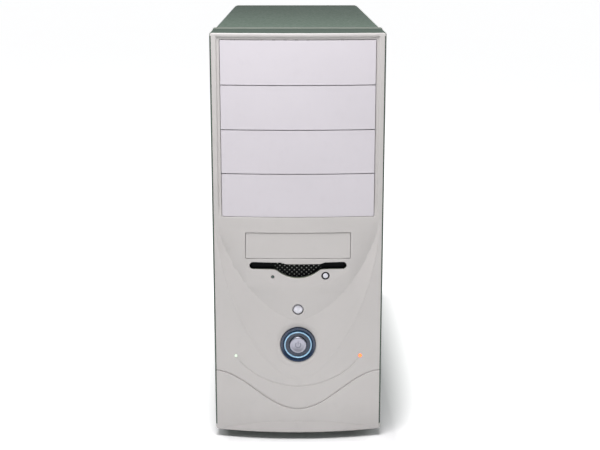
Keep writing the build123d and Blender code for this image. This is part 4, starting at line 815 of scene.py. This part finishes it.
def front_sheet(surface, outline_at, openings):
    """The bezel's visible front. Returns the first point of each of its border loops."""
    offsets = (0.0, 0.05, 0.2, 0.42, 0.7, 1.05)
    edge_offsets = (0.0, 0.06, 0.25, 0.55, 0.9, 1.25, 1.6, 2.1)
    points, away, distance, radius, loops = [], [], [], [], []

    def add(rows, normals, d, r):
        start = sum(len(p) for p in points)
        points.append(rows)
        away.append(normals)
        distance.append(np.full(len(rows), d))
        radius.append(np.full(len(rows), r))
        return start

    outer = outline_at(0.0)
    for d in edge_offsets:
        start = add(outline_at(d), -outward(outer), d, EDGE_ROUND)
        if d == 0.0:
            loops.append((start, len(outer)))
    for outline, _ in openings:
        normal = outward(outline)
        for d in offsets:
            start = add(outline + normal * d, normal, d, OPENING_ROUND)
            if d == 0.0:
                loops.append((start, len(outline)))
    loose = np.vstack([feature_points(), grid_points(GRID)])
    inside = contains(loose, outline_at(edge_offsets[-1] + 0.4))
    for outline, _ in openings:
        inside &= ~contains(loose, outline)
        inside &= distance_to(loose, outline) > offsets[-1] + 0.35
    loose = loose[inside]
    add(loose, np.zeros_like(loose), 10.0, EDGE_ROUND)
    points, away = np.vstack(points), np.vstack(away)
    distance, radius = np.concatenate(distance), np.concatenate(radius)
    source, triangles = triangulate(points, loops, outer, [outline for outline, _ in openings])
    y = front_y(points[:, 0], points[:, 1]) + rounding(distance, radius)
    normals = front_normals(points, away, distance, radius)
    base = surface.add_points(in_space(points, y))
    for triangle in triangles:
        corners = [source[i] for i in triangle]
        # Faces that roll round the outer edge take the dark hood colour: painted shade along the
        # edge.
        reach = SHADED_EDGE_REACH if points[corners, 1].max() < TOP - CORNER else SHADED_EDGE_REACH / 2
        rolled = radius[corners].min() == EDGE_ROUND and distance[corners].max() < reach
        rolled = rolled and points[corners, 1].min() > LIP_RISE / 2
        surface.add_face(
            [base + i for i in corners], normals[corners], PAINTED_SHADE_HOOD if rolled else FRONT_FACE
        )
    return [(base + start, count) for start, count in loops]


def grid_points(step):
    x = np.arange(-HALF + step / 2, HALF, step)
    z = np.arange(step / 2, TOP, step * 0.9)
    grid_x, grid_z = np.meshgrid(x, z)
    grid_x = grid_x + (np.arange(len(z)) % 2)[:, None] * step / 2
    return np.column_stack([grid_x.ravel(), grid_z.ravel()])


def back_sheet(surface, outline_at, openings):
    """The inside of the bezel's front, with a raised collar round some openings."""
    points, y, loops = [], [], []

    def add(rows, depth):
        start = sum(len(p) for p in points)
        points.append(rows)
        y.append(depth)
        return start

    def inner_y(rows):
        """The wall is thinner where the floppy drive's face stands close behind it."""
        behind = front_y(rows[:, 0], rows[:, 1]) + WALL
        drive = (np.abs(rows[:, 0]) < 48.5) & (rows[:, 1] > 158) & (rows[:, 1] < 190)
        return np.where(drive, np.clip(FRONT + 0.2, behind - WALL + 0.7, behind), behind)

    outer = outline_at(WALL)
    loops.append((add(outer, inner_y(outer)), len(outer)))
    for outline, collar in openings:
        normal = outward(outline)
        deep = inner_y(outline) if collar is None else np.full(len(outline), collar)
        loops.append((add(outline, deep), len(outline)))
        if collar is not None:
            add(outline + normal * 1.5, deep)
            add(outline + normal * 1.9, inner_y(outline + normal * 1.9))
    loose = grid_points(BACK_GRID)
    inside = contains(loose, outline_at(WALL + 2))
    for outline, _ in openings:
        inside &= ~contains(loose, outline)
        inside &= distance_to(loose, outline) > 4
    loose = loose[inside]
    add(loose, inner_y(loose))
    points, y = np.vstack(points), np.concatenate(y)
    source, triangles = triangulate(points, loops, outer, [outline for outline, _ in openings])
    base = surface.add_points(in_space(points, y))
    for triangle in triangles:
        corners = [source[i] for i in triangle][::-1]
        a, b, c = (Vector(surface.points[base + i]) for i in corners)
        normal = (b - a).cross(c - a).normalized()
        surface.add_face([base + i for i in corners], [normal] * 3, FRONT_FACE)
    return [(base + start, count) for start, count in loops]


def wall_between(surface, first, second, normals, material):
    """Quads that join two loops of the same number of points."""
    (a, count), (b, _) = first, second
    for k in range(count):
        n = (k + 1) % count
        corners = [a + k, b + k, b + n, a + n]
        surface.add_face(corners, [normals[k], normals[k], normals[n], normals[n]], material)


def flat_normals(outline, sign):
    normal = outward(outline) * sign
    return np.column_stack([normal[:, 0], np.zeros(len(normal)), normal[:, 1]])


def bezel():
    """The whole front bezel: front, returns to the steel case, rim and inside."""
    across, along = int(2 * HALF / CURVE_STEP), int(TOP / CURVE_STEP)

    def outline_at(inset):
        radius = max(CORNER - inset, 0.15)
        sides = (-HALF + inset, HALF - inset, inset, TOP - inset)
        return rectangle_points(*sides, radius, across, along)

    surface = Surface()
    openings = bezel_openings()
    front_loops = front_sheet(surface, outline_at, openings)
    back_loops = back_sheet(surface, outline_at, openings)
    for number, (outline, _) in enumerate(openings):
        # The disk slot's wall takes the darker slot wall colour, painted shade.
        material = PAINTED_SHADE_SLOT_WALL if number == 2 else FRONT_FACE
        loops = back_loops[number + 1], front_loops[number + 1]
        wall_between(surface, *loops, flat_normals(outline, -1), material)
    outer, inner = outline_at(0.0), outline_at(WALL)
    out_normals = flat_normals(outer, 1)
    rise = smooth((outer[:, 1] - TOP + CORNER) / CORNER)
    # The return back to the seam takes the dark hood colour, painted shade.
    rows = (
        (SEAM - RIM - 0.35, 0.0, PAINTED_SHADE_HOOD),
        # The raised rim takes the lighter rim colour, a painted highlight.
        (SEAM - RIM, BEZEL_TOP_DROP, SEAM_RIM_PAINTED_HIGHLIGHT),
        (SEAM, BEZEL_TOP_DROP, SEAM_RIM_PAINTED_HIGHLIGHT),
    )
    last = front_loops[0]
    for y, lift, material in rows:
        ring = in_space(outer, np.full(len(outer), y))
        ring[:, 2] += lift * rise
        start = surface.add_points(ring)
        normals = out_normals
        if lift and y < SEAM:
            tilt = np.array([0.0, -1.0, 0.25])
            normals = np.where(rise[:, None] > 0.5, tilt / np.linalg.norm(tilt), out_normals)
        wall_between(surface, last, (start, len(outer)), normals, material)
        last = (start, len(outer))
    inside = surface.add_points(in_space(inner, np.full(len(inner), SEAM)))
    backward = np.tile((0.0, 1.0, 0.0), (len(inner), 1))
    wall_between(surface, last, (inside, len(inner)), backward, PAINTED_SHADE_HOOD)
    wall_between(surface, (inside, len(inner)), back_loops[0], flat_normals(inner, -1), PAINTED_SHADE_HOOD)
    return surface.object(
        "bezel_shell",
        [M["bezel"], M["hood"], M["slot_wall"], M["rim"]],
        "chassis",
        "bezel_plastic",
        "front_bezel",
    )


# ---- buttons and their marks --------------------------------------------------------------------
def lathe(name, profile, centre, material, body, slot, *replaced, count=72):
    """Turned shape about an axis along Y; the profile is (radius, y) from back to front."""
    x0, z0 = centre
    angle = np.arange(count) * 2 * math.pi / count
    points, faces = [], []
    for radius, y in profile:
        ring = [(x0 + radius * c, y, z0 + radius * s) for c, s in zip(np.cos(angle), np.sin(angle))]
        points.extend(ring if radius else [(x0, y, z0)])
    start = 0
    for (r0, _), (r1, _) in zip(profile, profile[1:]):
        following = start + (count if r0 else 1)
        for k in range(count):
            n = (k + 1) % count
            first = [start + k, start + n] if r0 else [start]
            second = [following + n, following + k] if r1 else [following]
            faces.append(first + second)
        start = following
    mesh = bpy.data.meshes.new(name)
    mesh.from_pydata([(x * MM, y * MM, z * MM) for x, y, z in points], [], faces)
    mesh.materials.append(material)
    mesh.shade_smooth()
    mesh.set_sharp_from_angle(angle=math.radians(38))
    return new_object(name, mesh, body, slot, *replaced)


def arc(r0, y0, r1, y1, steps=8):
    """Quarter ellipse from (r0, y0), where it runs along the axis, to (r1, y1)."""
    turn = [math.pi / 2 * k / steps for k in range(steps + 1)]
    return [(r1 + (r0 - r1) * math.cos(a), y0 + (y1 - y0) * math.sin(a)) for a in turn]


def node_face(node):
    """Centre of a button in X and Z, its front and its back, in millimetres."""
    low, high = (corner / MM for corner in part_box(node))
    return ((low.x + high.x) / 2, (low.z + high.z) / 2), low.y, high.y


def power_cap():
    """Silver cap with a dished face and the usual on/off mark."""
    centre, front, back = node_face("power_button")
    stem, radius, depth = 2.75, 8.5, 8.0
    dish = [(r, front + 0.75 * (1 - (r / 6.4) ** 2) + 0.1) for r in (6.4, 5, 3.6, 2.2, 1.0)]
    profile = [(0, back), (stem, back), (stem, front + depth), (radius, front + depth)]
    profile += arc(radius, front + 1.3, 7.2, front) + [(6.7, front)] + dish + [(0, front + 0.85)]
    body = "power_button"
    lathe("power_cap", profile, centre, M["silver"], body, "silver_plastic", "power_button")
    curve = bpy.data.curves.new("power_mark", "CURVE")
    curve.dimensions = "3D"
    curve.bevel_depth = 0.28 * MM
    curve.bevel_resolution = 3
    turns = np.radians(np.linspace(128, 412, 40))
    ring = [(centre[0] + 2.7 * math.cos(a), centre[1] + 2.7 * math.sin(a)) for a in turns]
    bar = [(centre[0], centre[1] + up) for up in (0.6, 1.8, 3.0, 4.0)]
    for points in (ring, bar):
        spline = curve.splines.new("POLY")
        spline.points.add(len(points) - 1)
        for point, (x, z) in zip(spline.points, points):
            sunk = front + 0.72 - 0.018 * ((x - centre[0]) ** 2 + (z - centre[1]) ** 2)
            point.co = (x * MM, sunk * MM, z * MM, 1)
    curve.materials.append(M["mark"])
    new_object("power_mark", curve, body, "silver_plastic")


def reset_cap():
    centre, front, back = node_face("reset_button")
    stem, skirt, radius = 2.75, 5.3, 4.4
    profile = [(0, back), (stem, back), (stem, front + 9), (skirt, front + 9), (skirt, front + 4)]
    profile += [(radius, front + 4)] + arc(radius, front + 1.7, 3.3, front + 0.75, 6)
    profile += [(r, front + 0.75 * (r / 3.3) ** 2) for r in (2.6, 1.8, 1.0)] + [(0, front)]
    lathe("reset_cap", profile, centre, M["white"], "reset_button", "white_plastic", "reset_button")


def eject_cap():
    """White dome in a dark collar that moves with it; the collar's black is painted shade round the
    dome.
    """
    centre, front, back = node_face("eject_button")
    body, slot, outer, inner = "eject_button", "white_plastic", 3.7, 2.6
    collar = [(0, back), (outer, back), (outer, front + 1.2)]
    collar += arc(outer, front + 1.2, 3.1, front + 0.8, 5)
    collar += [(2.8, front + 1.0), (0, front + 1.0)]
    lathe("eject_collar_painted_shade", collar, centre, M["black"], body, slot, "eject_button")
    dome = [(0, front + 2), (inner, front + 2), (inner, front + 1.0)]
    dome += arc(inner, front + 1.0, 1.6, front + 0.35, 6)
    dome += [(0.9, front + 0.15), (0, front + 0.05)]
    lathe("eject_dome", dome, centre, M["white"], body, slot, "eject_button")


# ---- camera, light and floor --------------------------------------------------------------------
def look():
    data = bpy.data.cameras.new("camera")
    data.lens = 67.52
    data.sensor_width = 36.0
    data.shift_y = -0.038
    data.clip_end = 50
    camera = bpy.data.objects.new("camera", data)
    camera.location = (-0.0055, FRONT * MM - 1.0712, BASE * MM + 0.4849)
    camera.rotation_euler = (math.radians(90 - 12.97), 0, math.radians(-0.4))
    bpy.context.scene.collection.objects.link(camera)
    bpy.context.scene.camera = camera


def area_light(name, place, target, size, power, colour):
    data = bpy.data.lights.new(name, "AREA")
    data.shape = "RECTANGLE"
    data.size, data.size_y = size
    data.energy = power
    data.color = colour
    lamp = bpy.data.objects.new(name, data)
    lamp.location = place
    lamp.visible_camera = False
    lamp.rotation_euler = (Vector(target) - Vector(place)).to_track_quat("-Z", "Y").to_euler()
    bpy.context.scene.collection.objects.link(lamp)


def light():
    world = bpy.data.worlds.new("studio")
    world.use_nodes = True
    tree = world.node_tree
    sky = tree.nodes["Background"]
    sky.inputs[0].default_value = (0.97, 0.985, 1.0, 1.0)
    direction = tree.nodes.new("ShaderNodeTexCoord")
    height = tree.nodes.new("ShaderNodeSeparateXYZ")
    tree.links.new(direction.outputs["Generated"], height.inputs[0])
    fade = tree.nodes.new("ShaderNodeMapRange")
    tree.links.new(height.outputs[2], fade.inputs["Value"])
    for key, number in (("From Min", 0.05), ("From Max", 0.15), ("To Min", 0.95), ("To Max", 0.22)):
        fade.inputs[key].default_value = number
    tree.links.new(fade.outputs[0], sky.inputs[1])
    bpy.context.scene.world = world
    area_light("key", (-0.08, -0.5, 0.95), (0, -0.22, 0.3), (0.5, 0.3), 8.3, (1.0, 0.985, 1.0))
    area_light("back", (1.3, 1.3, 0.75), (0, 0.1, 0.2), (0.9, 0.9), 12, (1.0, 1.0, 1.0))
    scene = bpy.context.scene
    scene.view_settings.view_transform = "Standard"
    scene.view_settings.look = "None"


def floor():
    mesh = bpy.data.meshes.new("floor")
    far = 12.0
    corners = [(-far, -far, 0), (far, -far, 0), (far, far, 0), (-far, far, 0)]
    mesh.from_pydata(corners, [], [(0, 1, 2, 3)])
    made = Finish("floor_painted_shadow", linear(244, 244, 244), 0.8)
    made.colour(made.blend(made.noise(600, 2), linear(242, 242, 242), linear(247, 247, 247)))
    made.roughness(made.noise(30, 2), 0.7, 0.9)
    made.shader.inputs["Emission Color"].default_value = linear(250, 250, 250)
    # The floor's glow is nearly off at the tower's footprint and full 5 cm out, shifted a little to
    # the right: a painted shadow.
    apart = made.node("ShaderNodeVectorMath", operation="SUBTRACT")
    made.link(made.place, apart.inputs[0])
    apart.inputs[1].default_value = (0.014, -0.002, 0.0)
    size = made.node("ShaderNodeVectorMath", operation="ABSOLUTE")
    made.link(apart.outputs[0], size.inputs[0])
    beyond = made.node("ShaderNodeVectorMath", operation="SUBTRACT")
    made.link(size.outputs[0], beyond.inputs[0])
    beyond.inputs[1].default_value = (HALF * MM, cad_box[1].y, 0.0)
    outside = made.node("ShaderNodeVectorMath", operation="MAXIMUM")
    made.link(beyond.outputs[0], outside.inputs[0])
    outside.inputs[1].default_value = (0.0, 0.0, 0.0)
    away = made.node("ShaderNodeVectorMath", operation="LENGTH")
    made.link(outside.outputs[0], away.inputs[0])
    glow = made.remap(away.outputs["Value"], 0.0, 0.05, 0.02, 0.82)
    # The glow also weakens towards the front, to half at two metres out.
    depth = made.node("ShaderNodeSeparateXYZ")
    made.link(made.place, depth.inputs[0])
    glow = made.maths("MULTIPLY", glow, made.remap(depth.outputs[1], -2.0, -0.3, 0.5, 1.0))
    made.link(glow, made.shader.inputs["Emission Strength"])
    mesh.materials.append(made.material)
    piece = bpy.data.objects.new("floor", mesh)
    bpy.context.scene.collection.objects.link(piece)


look()
light()
floor()
dress_cad_nodes()
bezel()
power_cap()
reset_cap()
eject_cap()
